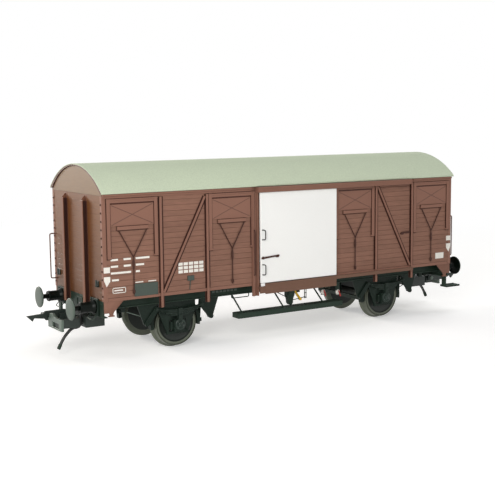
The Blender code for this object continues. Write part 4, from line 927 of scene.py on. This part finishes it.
axlebox = {"half": 2.9, "z": (7.6, 13.6), "y": (20.5, 23.4), "earHalf": 4.3, "earZ": (8.6, 12.4),
           "earY": (20.7, 22.2), "cover": ((-24.6, 0.5), (-24.6, 0.95), (-24.45, 1.2), (-24.0, 1.3),
                                           (-23.95, 1.75), (-24.15, 1.95), (-24.2, 2.45), (-24.05, 2.7),
                                           (-23.0, 2.7)), "boltRing": 2.1, "boltY": -24.15, "bolt": 0.3,
           "boltRise": 0.2}
boxBody = sideBlock(around(0, axlebox["half"]), axlebox["y"], axlebox["z"])
ears = sideBlock(around(0, axlebox["earHalf"]), axlebox["earY"], axlebox["earZ"])
boxes = joined(boxBody, ears)
cover = turned(axlebox["cover"], "y", (0, axleHeight), 40)
coverBoltPlaces = [(x, axlebox["boltY"], z)
                   for x, z in circle((0, axleHeight), axlebox["boltRing"], 4, 45, 315)]
covers = joined(cover, studs(coverBoltPlaces, "y", -1, axlebox["bolt"], axlebox["boltRise"]))

spring = {"half": 12.2, "top": 18.5, "rise": 1.3, "y": (22.4, 24.0), "pitch": 0.8, "leaf": 0.7,
          "lengths": (1.0, 0.82, 0.62, 0.42), "steps": 25, "eye": 0.75, "eyeY": (-24.05, -22.35),
          "buckleX": (-1.15, 1.15), "buckleY": (22.0, 24.6), "buckleZ": (13.2, 19.0), "boltZ": 16.2,
          "bolt": 0.6, "boltRise": 0.35}
leaves = []
for row, share in enumerate(spring["lengths"]):
    x = np.linspace(-1, 1, spring["steps"]) * spring["half"] * share
    z = spring["top"] - row * spring["pitch"] + spring["rise"] * (x / spring["half"]) ** 2
    leaves.append(ribbon(np.stack((x, z), axis=-1), spring["leaf"], outward(spring["y"])))
eyeZ = spring["top"] + spring["rise"] - spring["leaf"] / 2
eyeLine = [(y, spring["eye"]) for y in spring["eyeY"]]
eyes = [turned(eyeLine, "y", (side * spring["half"], eyeZ), 16) for side in bothSides]
buckle = sideBox(spring, "buckle")
buckleBolt = studs([(0, -spring["buckleY"][1], spring["boltZ"])], "y", -1, spring["bolt"],
                   spring["boltRise"], 6)
springPack = joined(*leaves, *eyes, buckle, buckleBolt)

hanger = {"line": ((11.3, 21.9), (21.8, 21.9), (18.5, 12.5), (16.1, 12.5)), "y": (21.6, 22.6),
          "linkY": (22.4, 23.6), "linkR": 1.2, "foot": (17.3, 13.1), "pin": 0.55, "pinRise": 0.35}
bracket = bar(hanger["line"], "y", *outward(hanger["y"]))
linkEnds = ((spring["half"], eyeZ), hanger["foot"])
link = capsule(*linkEnds, hanger["linkR"], outward(hanger["linkY"]))
pins = studs([(x, -hanger["linkY"][1], z) for x, z in linkEnds], "y", -1, hanger["pin"], hanger["pinRise"],
             12)
oneHanger = joined(bracket, link, pins)
hangers = joined(oneHanger, mirrored(oneHanger, "x"))
for end, x in (("left", -axleX), ("right", axleX)):
    at = [(x, 0, 0)]
    makePair("wIron_near_" + end, repeat(ironwork, at), gearBlack, slot="black_frame",
             nodes=["axle_guard_near_" + end], edge=0.1)
    for name, shape, finish, edge, segments in (("axlebox", boxes, gearBlack, 0.1, 2),
                                                ("axleCover", covers, coverHighlightGrey, 0.06, 1),
                                                ("leafSpring", springPack, gearBlack, 0.06, 1),
                                                ("springHangers", hangers, gearBlack, 0.1, 2)):
        makePair(name + "_near_" + end, repeat(shape, at), finish, slot="black_frame", edge=edge,
                 segments=segments)
print("axle guards made")


# Wheelsets

flangeR = axleHeight + railTop  # the flange just reaches the frame's floor
wheelLine = np.array(((14.5, 1.55), (14.5, 11.0), (14.6, 11.6), (14.82, flangeR - 0.12), (15.1, flangeR),
                      (15.38, flangeR - 0.08), (15.6, 11.85), (15.8, 11.45), (16.1, 11.22), (16.6, 11.14),
                      (19.1, 11.02), (19.4, 10.95), (19.5, 10.85), (19.5, 10.75), (19.1, 10.65),
                      (19.1, 10.3), (19.5, 10.2), (19.5, 9.35), (19.42, 9.2), (19.0, 9.0), (18.62, 8.6),
                      (18.45, 7.8), (18.4, 6.0), (18.45, 4.6), (18.7, 4.0), (19.2, 3.6), (19.38, 3.3),
                      (19.4, 1.55)))
axleLine = np.array(((-21.9, 0.25), (-20.2, 1.2), (-19.8, 1.5), (-14.6, 1.5), (-14.0, 1.42), (14.0, 1.42),
                     (14.6, 1.5), (19.8, 1.5), (20.2, 1.2), (21.9, 0.25)))
for end, x in (("left", -axleX), ("right", axleX)):
    for side, sign in (("near", -1), ("far", 1)):
        rim = turned(wheelLine * (sign, 1), "y", (x, axleHeight), 72, ring=True)
        makePiece("wheelDisc_" + side + "_" + end, rim, wheelMetal, "wheelset_" + end, "wheel_metal",
                  ["wheel_" + side + "_" + end], angle=32)
    shaft = turned(axleLine, "y", (x, axleHeight), 32)
    makePiece("axleShaft_" + end, shaft, axleDark, "wheelset_" + end, "steel", ["axle_" + end])
dress("axle_bearing", brassCup)
print("wheelsets made")


# Buffers, left end

buffers = {"y": 19.45, "z": 23.5, "base": 4.0, "baseX": (104.7, 105.5), "boltOut": 3.1, "bolt": 0.55,
           "boltRise": 0.4}
# outlines (distance from the middle of the wagon, radius) of the three turned pieces
headLine = np.array(((117.55, 1.6), (117.52, 3.4), (117.42, 4.7), (117.3, 5.02), (117.1, 5.1),
                     (116.9, 5.1), (116.9, 1.0)))
stemLine = np.array(((116.92, 5.0), (116.75, 5.08), (116.6, 4.95), (116.45, 4.0), (116.2, 2.1),
                     (115.75, 1.35), (115.2, 1.15), (110.0, 1.15)))
sleeveLine = np.array(((104.8, 3.3), (106.1, 3.3), (106.5, 3.0), (107.1, 2.6), (107.8, 2.45),
                       (111.7, 2.45), (111.75, 2.62), (112.3, 2.62), (112.35, 2.5), (112.8, 2.4),
                       (112.8, 1.35), (105.0, 1.35), (105.0, 0.3), (104.8, 0.3)))
coil = {"x": (109.8, 105.2), "radius": 0.9, "wire": 0.15, "turns": 4, "steps": 16, "bottom": 105.0,
        "pressed": 0.48}
for side, sign in (("near", -1), ("far", 1)):
    centre = (sign * buffers["y"], buffers["z"])
    bufferY, bufferZ = centre
    plunger = turned(headLine * (-1, 1), "x", centre, 48)
    makePair("bufferHead_" + side + "_left", plunger, bufferSteel, "buffer_" + side + "_left",
             slot="steel", nodes=["buffer_plunger_" + side + "_left"], angle=30)
    stem = turned(stemLine * (-1, 1), "x", centre, 48)
    makePair("bufferStem_" + side + "_left", stem, glossBlack, "buffer_" + side + "_left",
             slot="black_frame", angle=30)
    barrel = turned(sleeveLine * (-1, 1), "x", centre, 40, ring=True)
    makePair("bufferSleeve_" + side + "_left", barrel, glossBlack, slot="black_frame",
             nodes=["buffer_housing_" + side + "_left"], angle=30)
    square = endBlock(buffers["baseX"], around(bufferY, buffers["base"]), around(bufferZ, buffers["base"]))
    boltPlaces = [(-buffers["baseX"][1], y, z) for y in around(bufferY, buffers["boltOut"])
                  for z in around(bufferZ, buffers["boltOut"])]
    baseBolts = studs(boltPlaces, "x", -1, buffers["bolt"], buffers["boltRise"], 6)
    makePair("bufferBase_" + side + "_left", joined(square, baseBolts), gearBlack, slot="black_frame",
             edge=0.12)
    # a helix in the bore, from the shank back to the bottom of the bore
    turn = np.linspace(0, 1, coil["turns"] * coil["steps"] + 1)
    swing = 2 * np.pi * coil["turns"] * turn
    along = -coil["x"][0] + turn * (coil["x"][0] - coil["x"][1])
    across, upward = coil["radius"] * np.cos(swing), coil["radius"] * np.sin(swing)
    helix = np.stack((along, bufferY + across, bufferZ + upward), axis=-1)
    pair = makePair("bufferCoil_" + side + "_left", wire(helix, coil["wire"], 8), axleSteel, slot="steel",
                    nodes=["buffer_spring_" + side + "_left"])
    for piece, bottom in zip(pair, around(0, coil["bottom"])):
        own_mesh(piece)
print("buffers made")


# Couplers, left end

pocket = {"x": (95.5, 105.0), "half": 8.5, "z": (11.6, 17.0), "bottom": 97.5, "hollow": 4.5,
          "hollowZ": (12.7, 15.9), "stemX": (96.0, 101.5), "stemY": (-3.0, 3.0), "stemZ": (16.8, 26.8),
          "pin": (-100.5, 0), "pinHead": ((17.0, 0.95), (17.35, 0.95), (17.5, 0.7)),
          "pinShank": ((12.5, 0.8), (17.1, 0.8))}
pocketLoops = (boxLoop(-pocket["x"][0], pocket["half"], pocket["z"]),
               boxLoop(-pocket["x"][1], pocket["half"], pocket["z"]),
               boxLoop(-pocket["x"][1], pocket["hollow"], pocket["hollowZ"]),
               boxLoop(-pocket["bottom"], pocket["hollow"], pocket["hollowZ"]))
pocketStem = endBox(pocket, "stem")
makePair("couplerPocket_left", joined(skin(np.array(pocketLoops)), pocketStem), couplerGrey,
         slot="black_frame", nodes=["coupler_pocket_left"], edge=0.15)
pinParts = [turned(pocket[part], "z", pocket["pin"], 16) for part in ("pinHead", "pinShank")]
makePair("couplerPin_left", joined(*pinParts), axleSteel, slot="steel")

drawbar = {"eye": (2.3, 0.95), "eyeZ": (12.9, 15.7), "steps": 32, "runX": (102.0, 109.3),
           "runY": (-1.8, 1.8), "runZ": (12.95, 15.65), "yokeX": (108.2, 109.8), "yokeY": (-8.9, 7.1),
           "yokeZ": (13.0, 15.6), "armX": (108.3, 117.2), "armY": (-9.0, -7.6), "armZ": (12.5, 16.8),
           "cheekX": (106.9, 112.0), "cheekY": (6.0, 7.3), "cheekZ": (12.6, 17.0)}
eyeRings = np.stack([circle(pocket["pin"], radius, drawbar["steps"]) for radius in drawbar["eye"]])
eyeLow, eyeHigh = drawbar["eyeZ"]
eyeGrid = np.empty((4, drawbar["steps"], 3))
eyeGrid[:, :, :2] = eyeRings[[0, 0, 1, 1]]
eyeGrid[:, :, 2] = np.array((eyeLow, eyeHigh, eyeHigh, eyeLow))[:, None]
drawEye = skin(eyeGrid, ring=True)
drawRun, yoke, nearArm, cheek = [endBox(drawbar, part) for part in ("run", "yoke", "arm", "cheek")]
makePair("drawbar_left", joined(drawEye, drawRun, yoke, nearArm, cheek), couplerGrey, body="coupler_left",
         slot="black_frame", nodes=["drawbar_left"], edge=0.18)
headPlate = {"x": (116.4, 117.7), "lowX": (116.43, 117.67), "lowY": (-9.8, 7.2), "lowZ": (11.25, 12.1),
             "jawX": (116.45, 117.65), "jawY": ((-9.75, -6.2), (1.6, 7.15)), "jawZ": (11.4, 15.5),
             "mouthX": (115.8, 116.9), "mouthY": (-6.6, 2.0), "mouthZ": (11.8, 15.0),
             "top": ((-9.8, 14.5), (-9.8, 16.8), (-4.0, 16.6), (-0.6, 17.2), (1.2, 18.2), (4.6, 18.0),
                     (5.6, 16.2), (7.2, 15.2), (7.2, 14.5))}
headTop = bar(headPlate["top"], "x", *outward(headPlate["x"]))
headLow = endBox(headPlate, "low")
jaws = [endBlock(headPlate["jawX"], y, headPlate["jawZ"]) for y in headPlate["jawY"]]
makePair("couplerHead_left", joined(headTop, headLow, *jaws), headGrey, body="coupler_left",
         slot="black_frame", edge=0.14)
mouthBack = endBox(headPlate, "mouth")
makePair("couplerMouth_left", mouthBack, gearBlack, body="coupler_left", slot="black_frame")
hook = {"y": (7.7, 8.9), "pin": (-109.5, 15.6),
        "pinLine": ((7.0, 0.7), (9.0, 0.7), (9.05, 1.1), (9.35, 1.1), (9.45, 0.8))}
hookLine = ((107.4, 14.2), (107.4, 17.6), (108.6, 18.6), (118.7, 18.5), (120.0, 17.4), (127.9, 17.0),
            (124.9, 14.1), (124.1, 15.6), (119.0, 14.9), (118.3, 14.0))
hookPlate = bar([(-x, z) for x, z in hookLine], "y", *hook["y"])
makePair("hookPlate_left", hookPlate, couplerGrey, body="hook_left", slot="black_frame",
         nodes=["coupler_hook_left"], edge=0.2)
hookPin = turned(hook["pinLine"], "y", hook["pin"], 20)
makePair("hookPin_left", hookPin, headGrey, body="coupler_left", slot="steel")
print("couplers made")


# Brakes and hoses

hose = {"y": -4.5, "radius": 0.75, "route": ((103.5, 18.8), (103.5, 18.4), (104.0, 18.1), (104.9, 18.0),
                                             (105.7, 17.5), (106.15, 16.5), (106.15, 14.0), (106.4, 12.8),
                                             (107.2, 11.9), (108.4, 11.6), (109.6, 11.55), (110.8, 11.1),
                                             (112.3, 9.9), (114.5, 7.5), (116.3, 4.6), (117.5, 2.3)),
        "cock": ((18.05, 0.95), (18.15, 1.1), (18.9, 1.1)), "cockX": -103.5, "fitting": 0.9,
        "fittingPoints": 7}
hoseRoute = flowing([(-x, hose["y"], z) for x, z in hose["route"]])
makePair("brakeHose_left", wire(hoseRoute, hose["radius"], 14), hoseRubber, slot="hose_rubber",
         nodes=["brake_hose_left"])
cock = turned(hose["cock"], "z", (hose["cockX"], hose["y"]), 16)
hoseEnd = wire(hoseRoute[-hose["fittingPoints"]:], hose["fitting"], 14)
makePair("hoseFittings_left", joined(hoseEnd, cock), frameBlack, slot="black_frame", edge=0.08)

gear = {"beamX": 49.95, "shoeR": (11.75, 13.4), "shoeY": (16.4, 19.2), "swing": (10, 36), "rodHalf": 0.6,
        "rodZ": (19.6, 20.8), "beamHalf": (0.9, 19.1), "beamZ": (10.2, 12.0), "postHalf": 0.7,
        "postZ": (11.1, 20.85), "hangY": (17.2, 18.2), "hangHalf": 0.6, "hangLong": 13.35, "hangLean": 1.2,
        "hangTop": 24.4}


def brakeShoe(x, right):
    # The part of a ring about the axle from a little below its height to well above it,
    # on one side of the wheel
    below, above = gear["swing"]
    low, high = (-below, above) if right else (180 - above, 180 + below)
    return np.vstack((circle((x, axleHeight), gear["shoeR"][1], 12, low, high),
                      circle((x, axleHeight), gear["shoeR"][0], 12, high, low)))


parts = [block(around(0, gear["beamX"]), around(0, gear["rodHalf"]), gear["rodZ"])]
for end in bothSides:
    x = end * gear["beamX"]
    parts.append(block(around(x, gear["beamHalf"][0]), around(0, gear["beamHalf"][1]), gear["beamZ"]))
    parts.append(block(around(x, gear["postHalf"]), around(0, gear["postHalf"]), gear["postZ"]))
    shoe = brakeShoe(end * axleX, end < 0)
    for side in bothSides:
        parts.append(bar(shoe, "y", *sorted(side * y for y in gear["shoeY"])))
        hangBar = block(around(0, gear["hangHalf"]), sorted(side * y for y in gear["hangY"]),
                        (0, gear["hangLong"]))
        parts.append(leaned(hangBar, (x, axleHeight), (x - end * gear["hangLean"], gear["hangTop"])))
makePiece("brakeGear", joined(*parts), gearBlack, slot="black_frame", nodes=["brake_gear"], edge=0.1)

outerRods = {"y": -18.0, "radius": 0.24, "routes": (((-89.8, 23.2), (-81.2, 22.8), (-81.2, 16.2)),
                                                    ((-88.6, 18.8), (-76.6, 14.2))), "hangHalf": 0.5,
             "hangLong": 12.6, "hangFoot": (-13.4, axleHeight), "hangTop": (-14.4, 23.6),
             "endX": (90.2, 92.4), "endY": (-20.0, -17.8), "endZ": (19.3, 24.2)}
rodShapes = joined(*[wire([(x, outerRods["y"], z) for x, z in route], outerRods["radius"], 8)
                     for route in outerRods["routes"]])
makePair("brakeRods_near", joined(rodShapes, mirrored(rodShapes, "x")), headGrey, slot="black_frame")
shoeBlock = bar(brakeShoe(-axleX, False), "y", *outward(gear["shoeY"]))
shoeHanger = leaned(sideBlock(around(0, outerRods["hangHalf"]), gear["hangY"], (0, outerRods["hangLong"])),
                    *[(x - axleX, z) for x, z in (outerRods["hangFoot"], outerRods["hangTop"])])
rodEnd = endBox(outerRods, "end")
outerBlocks = joined(shoeBlock, shoeHanger, rodEnd)
makePair("outerBrakes_near", joined(outerBlocks, mirrored(outerBlocks, "x")), gearBlack,
         slot="black_frame", edge=0.08)

vessels = {"ends": (("brakeCylinder", "brake_cylinder", (-5.0, 8.0)),
                    ("airReservoir", "air_reservoir", (-34.0, -14.0))), "centre": (9.0, 19.8),
           "dome": ((0, 1.2), (0.25, 2.0), (0.7, 2.8), (1.3, 3.25), (2.0, 3.4)),
           "band": ((-2.6, 3.4), (-2.5, 3.55), (2.5, 3.55), (2.6, 3.4)), "saddle": 3.0,
           "saddleY": (7.3, 10.7), "saddleZ": (19.8, 24.5)}
for name, node, (start, end) in vessels["ends"]:
    domed = [(start + along, radius) for along, radius in vessels["dome"]]
    tank = turned(domed + [(start + end - x, radius) for x, radius in domed[::-1]], "x", vessels["centre"],
                  40)
    middle = (start + end) / 2
    band = turned([(middle + along, radius) for along, radius in vessels["band"]], "x", vessels["centre"],
                  40)
    saddle = block(around(middle, vessels["saddle"]), vessels["saddleY"], vessels["saddleZ"])
    makePiece(name, joined(tank, band, saddle), gearBlack, slot="black_frame", nodes=[node], angle=40)

change = {"from": (3.9, 20.3), "to": (7.3, 15.8), "y": (21.8, 22.8), "half": 0.5, "long": 5.64,
          "knob": ((-23.1, 0.4), (-22.95, 0.75), (-21.7, 0.75), (-21.55, 0.4))}
changeBar = leaned(sideBlock(around(0, change["half"]), change["y"], (0, change["long"])), change["from"],
                   change["to"])
knob = turned(change["knob"], "y", change["to"], 18)
makePiece("changeLever", joined(changeBar, knob), leverYellow, slot="yellow_lever", nodes=["change_lever"],
          edge=0.1)
print("brakes made")


# Small fittings and painted marks of a side

fittings = {"grabX": -25.2, "grabZ": (32.0, 54.0), "grabFace": 30.7, "grabRoot": 29.8, "grabR": 0.3,
            "bend": 0.6, "catchY": (-29.75, -28.8),
            "catch": ((68.4, 45.5), (69.8, 45.4), (70.6, 46.0), (74.8, 46.0), (74.8, 46.8), (70.2, 46.8),
                      (68.6, 46.4))}
(low, high), face, root = fittings["grabZ"], fittings["grabFace"], fittings["grabRoot"]
grabLine = [(fittings["grabX"], -y, z) for y, z in ((root, low), (face, low), (face, high), (root, high))]
makePair("postGrab_near", wire(rounded(grabLine, fittings["bend"]), fittings["grabR"], 8), darkBrownAndShade)
makePair("doorCatch_near", bar(fittings["catch"], "y", *fittings["catchY"]), darkBrownAndShade, edge=0.08)

# fields are (x from, x to, z from, z to)
marks = {"face": 29.07, "back": 28.9, "raised": 29.22, "line": 0.35, "panel": (-89.6, -77.7, 27.9, 33.7),
         "panelFace": 29.55, "holder": (-62.0, -58.5, 32.6, 34.9), "holderFace": 29.5, "holderBack": 28.8,
         "holderRod": ((-60.4, -29.2, 32.8), (-60.9, -29.2, 28.4)), "rod": 0.2,
         "pentagon": ((-104.55, 38.1), (-104.55, 36.4), (-103.3, 33.5), (-101.5, 35.9), (-101.5, 38.1)),
         "square": (-104.55, -101.5, 39.8, 42.4), "table": (-66.9, -53.0), "columns": 5, "cellGap": 0.25,
         "rows": ((36.4, 37.8), (38.2, 39.6), (40.0, 41.4)),
         "panelBars": ((-89.0, -85.0, 34.1, 34.6), (-82.4, -78.4, 34.1, 34.6)),
         "outline": (-100.4, -93.8, 30.2, 32.8),
         "bars": ((-99.6, -95.2, 31.2, 31.8), (93.7, 99.7, 30.2, 33.4), (-101.0, -97.4, 45.0, 45.9),
                  (-94.6, -91.0, 45.0, 45.9), (-88.6, -81.6, 45.0, 45.9), (-101.0, -97.4, 42.0, 42.9),
                  (-94.6, -91.0, 42.0, 42.9), (-88.6, -84.4, 42.0, 42.9), (-101.0, -91.0, 39.0, 39.9),
                  (-88.6, -86.6, 39.0, 39.9), (-100.6, -97.2, 35.8, 36.7)), "dashX": (-45.0, -31.0),
         "dashStep": 2.1, "dash": 1.5, "dashY": (22.4, 22.62), "dashZ": (24.0, 25.0)}


def patch(x, z, face=marks["face"], back=marks["back"]):
    # A thin painted field on the wall
    return sideBlock(x, (back, face), z)


def fieldPatch(field, **depth):
    return patch(field[:2], field[2:], **depth)


def outlineBox(field, line):
    # Four thin bars round a field
    x, z = field[:2], field[2:]
    return joined(patch(x, (z[0], z[0] + line)), patch(x, (z[1] - line, z[1])),
                  patch((x[0], x[0] + line), z), patch((x[1] - line, x[1]), z))


panelPlate = fieldPatch(marks["panel"], face=marks["panelFace"], back=marks["holderBack"])
holder = fieldPatch(marks["holder"], face=marks["holderFace"], back=marks["holderBack"])
holderRod = wire(marks["holderRod"], marks["rod"], 8)
makePair("labelPlates_near", joined(panelPlate, holder, holderRod), plateGreen, slot="black_frame",
         edge=0.06, segments=1)
pentagon = bar(marks["pentagon"], "y", -marks["raised"], -marks["back"])
square = fieldPatch(marks["square"], face=marks["raised"])
tableX = np.linspace(*marks["table"], marks["columns"] + 1)
tableCells = [patch((start + marks["cellGap"], end - marks["cellGap"]), z)
              for start, end in zip(tableX[:-1], tableX[1:]) for z in marks["rows"]]
whiteMarks = joined(pentagon, square, mirrored(pentagon, "x"), mirrored(square, "x"), *tableCells,
                    *map(fieldPatch, marks["panelBars"]), outlineBox(marks["outline"], marks["line"]),
                    *map(fieldPatch, marks["bars"]))
makePair("paintMarks_near", whiteMarks, markWhite, slot="pale_door")
soleDashes = [sideBlock((x, x + marks["dash"]), marks["dashY"], marks["dashZ"])
              for x in np.arange(*marks["dashX"], marks["dashStep"])]
makePair("soleDashes_near", joined(*soleDashes), plateGreen, slot="pale_door")
print("fittings made")


# Floor, light and camera

def lookAt(place, target):
    return (Vector(target) - Vector(place)).to_track_quat("-Z", "Y").to_euler()


def whiteForView(tree, soft, white):
    # Camera, glossy and transmission rays see plain white, the other rays the soft shader
    path = addNode(tree, "ShaderNodeLightPath")
    seen = maths(tree, "MAXIMUM", path.outputs["Is Camera Ray"], path.outputs["Is Glossy Ray"])
    seen = maths(tree, "MAXIMUM", seen, path.outputs["Is Transmission Ray"])
    return addNode(tree, "ShaderNodeMixShader", {0: seen, 1: soft, 2: white}).outputs[0]


studio = {"ambient": 0.24, "floor": 0.86, "floorHalf": 6.0, "lift": 0.38, "fadeFrom": 0.22, "fadeTo": 0.6}
world = bpy.data.worlds.new("studioWorld")
world.use_nodes = True
worldTree = world.node_tree
worldTree.nodes.clear()
softSky = addNode(worldTree, "ShaderNodeBackground",
                  {"Color": (1, 1, 1, 1), "Strength": studio["ambient"]})
whiteSky = addNode(worldTree, "ShaderNodeBackground", {"Color": (1, 1, 1, 1), "Strength": 1.0})
skyOut = addNode(worldTree, "ShaderNodeOutputWorld")
worldTree.links.new(whiteForView(worldTree, softSky.outputs[0], whiteSky.outputs[0]), skyOut.inputs[0])
bpy.context.scene.world = world

side = studio["floorHalf"]
floorMesh = bpy.data.meshes.new("studioFloor")
floorMesh.from_pydata([(-side, -side, 0), (side, -side, 0), (side, side, 0), (-side, side, 0)], [],
                      [(0, 1, 2, 3)])
floorPaint = bpy.data.materials.new("floorPaint")
floorPaint.use_nodes = True
floorTree = floorPaint.node_tree
floorTree.nodes.clear()
matt = addNode(floorTree, "ShaderNodeBsdfDiffuse", {"Color": (*[studio["floor"]] * 3, 1)})
glow = addNode(floorTree, "ShaderNodeEmission", {"Strength": studio["lift"]})
lifted = addNode(floorTree, "ShaderNodeAddShader", {0: matt.outputs[0], 1: glow.outputs[0]})
white = addNode(floorTree, "ShaderNodeEmission", {"Strength": 1.0})
floorCoords = addNode(floorTree, "ShaderNodeTexCoord").outputs["Object"]
away = addNode(floorTree, "ShaderNodeVectorMath", {0: floorCoords}, operation="LENGTH").outputs["Value"]
faded = ranged(floorTree, away, studio["fadeFrom"], studio["fadeTo"], interpolation_type="SMOOTHSTEP")
seenFloor = addNode(floorTree, "ShaderNodeMixShader",
                    {0: faded, 1: lifted.outputs[0], 2: white.outputs[0]})
floorOut = addNode(floorTree, "ShaderNodeOutputMaterial")
floorTree.links.new(whiteForView(floorTree, matt.outputs[0], seenFloor.outputs[0]), floorOut.inputs[0])
floorMesh.materials.append(floorPaint)
floor = bpy.data.objects.new("studioFloor", floorMesh)
bpy.context.scene.collection.objects.link(floor)

lamps = ({"name": "keyLeft", "place": (-0.45, 1.05, 0.32), "size": 0.35, "watts": 8.6,
          "tint": (1.0, 0.95, 0.86)}, {"name": "frontSoft", "place": (-0.48, -0.52, 0.28), "size": 0.4,
                                       "watts": 3.6, "tint": (1.0, 0.99, 0.96)},
         {"name": "topSoft", "place": (0.4, 0.0, 1.25), "size": 1.0, "watts": 5.3,
          "tint": (1.0, 1.0, 1.0)})
lampTarget = (0, 0, 0.045)
for lamp in lamps:
    light = bpy.data.lights.new(lamp["name"], "AREA")
    light.size = lamp["size"]
    light.energy = lamp["watts"]
    light.color = lamp["tint"]
    lampObject = bpy.data.objects.new(lamp["name"], light)
    lampObject.location = lamp["place"]
    lampObject.rotation_euler = lookAt(lamp["place"], lampTarget)
    bpy.context.scene.collection.objects.link(lampObject)

view = {"place": (-288.3, -442.6, 107.9), "yaw": 32.14, "pitch": -7.25, "roll": -0.58, "lens": 73.7}
yaw, pitch, roll = np.radians((view["yaw"], view["pitch"], view["roll"]))
ahead = np.array((np.sin(yaw) * np.cos(pitch), np.cos(yaw) * np.cos(pitch), np.sin(pitch)))
level = np.array((np.cos(yaw), -np.sin(yaw), 0.0))
upright = np.cross(level, ahead)
rightward = level * np.cos(roll) + upright * np.sin(roll)
upward = upright * np.cos(roll) - level * np.sin(roll)
eye = (np.array(view["place"]) + (0, 0, railTop)) * mm
cameraData = bpy.data.cameras.new("photoCamera")
cameraData.lens = view["lens"]
cameraData.clip_start = 0.01
camera = bpy.data.objects.new("photoCamera", cameraData)
turn = np.eye(4)
turn[:3, :4] = np.stack((rightward, upward, -ahead, eye), axis=-1)
camera.matrix_world = Matrix(turn.tolist())
bpy.context.scene.collection.objects.link(camera)
bpy.context.scene.camera = camera
bpy.context.scene.view_settings.view_transform = "Standard"
print("studio made")

bpy.context.view_layer.update()
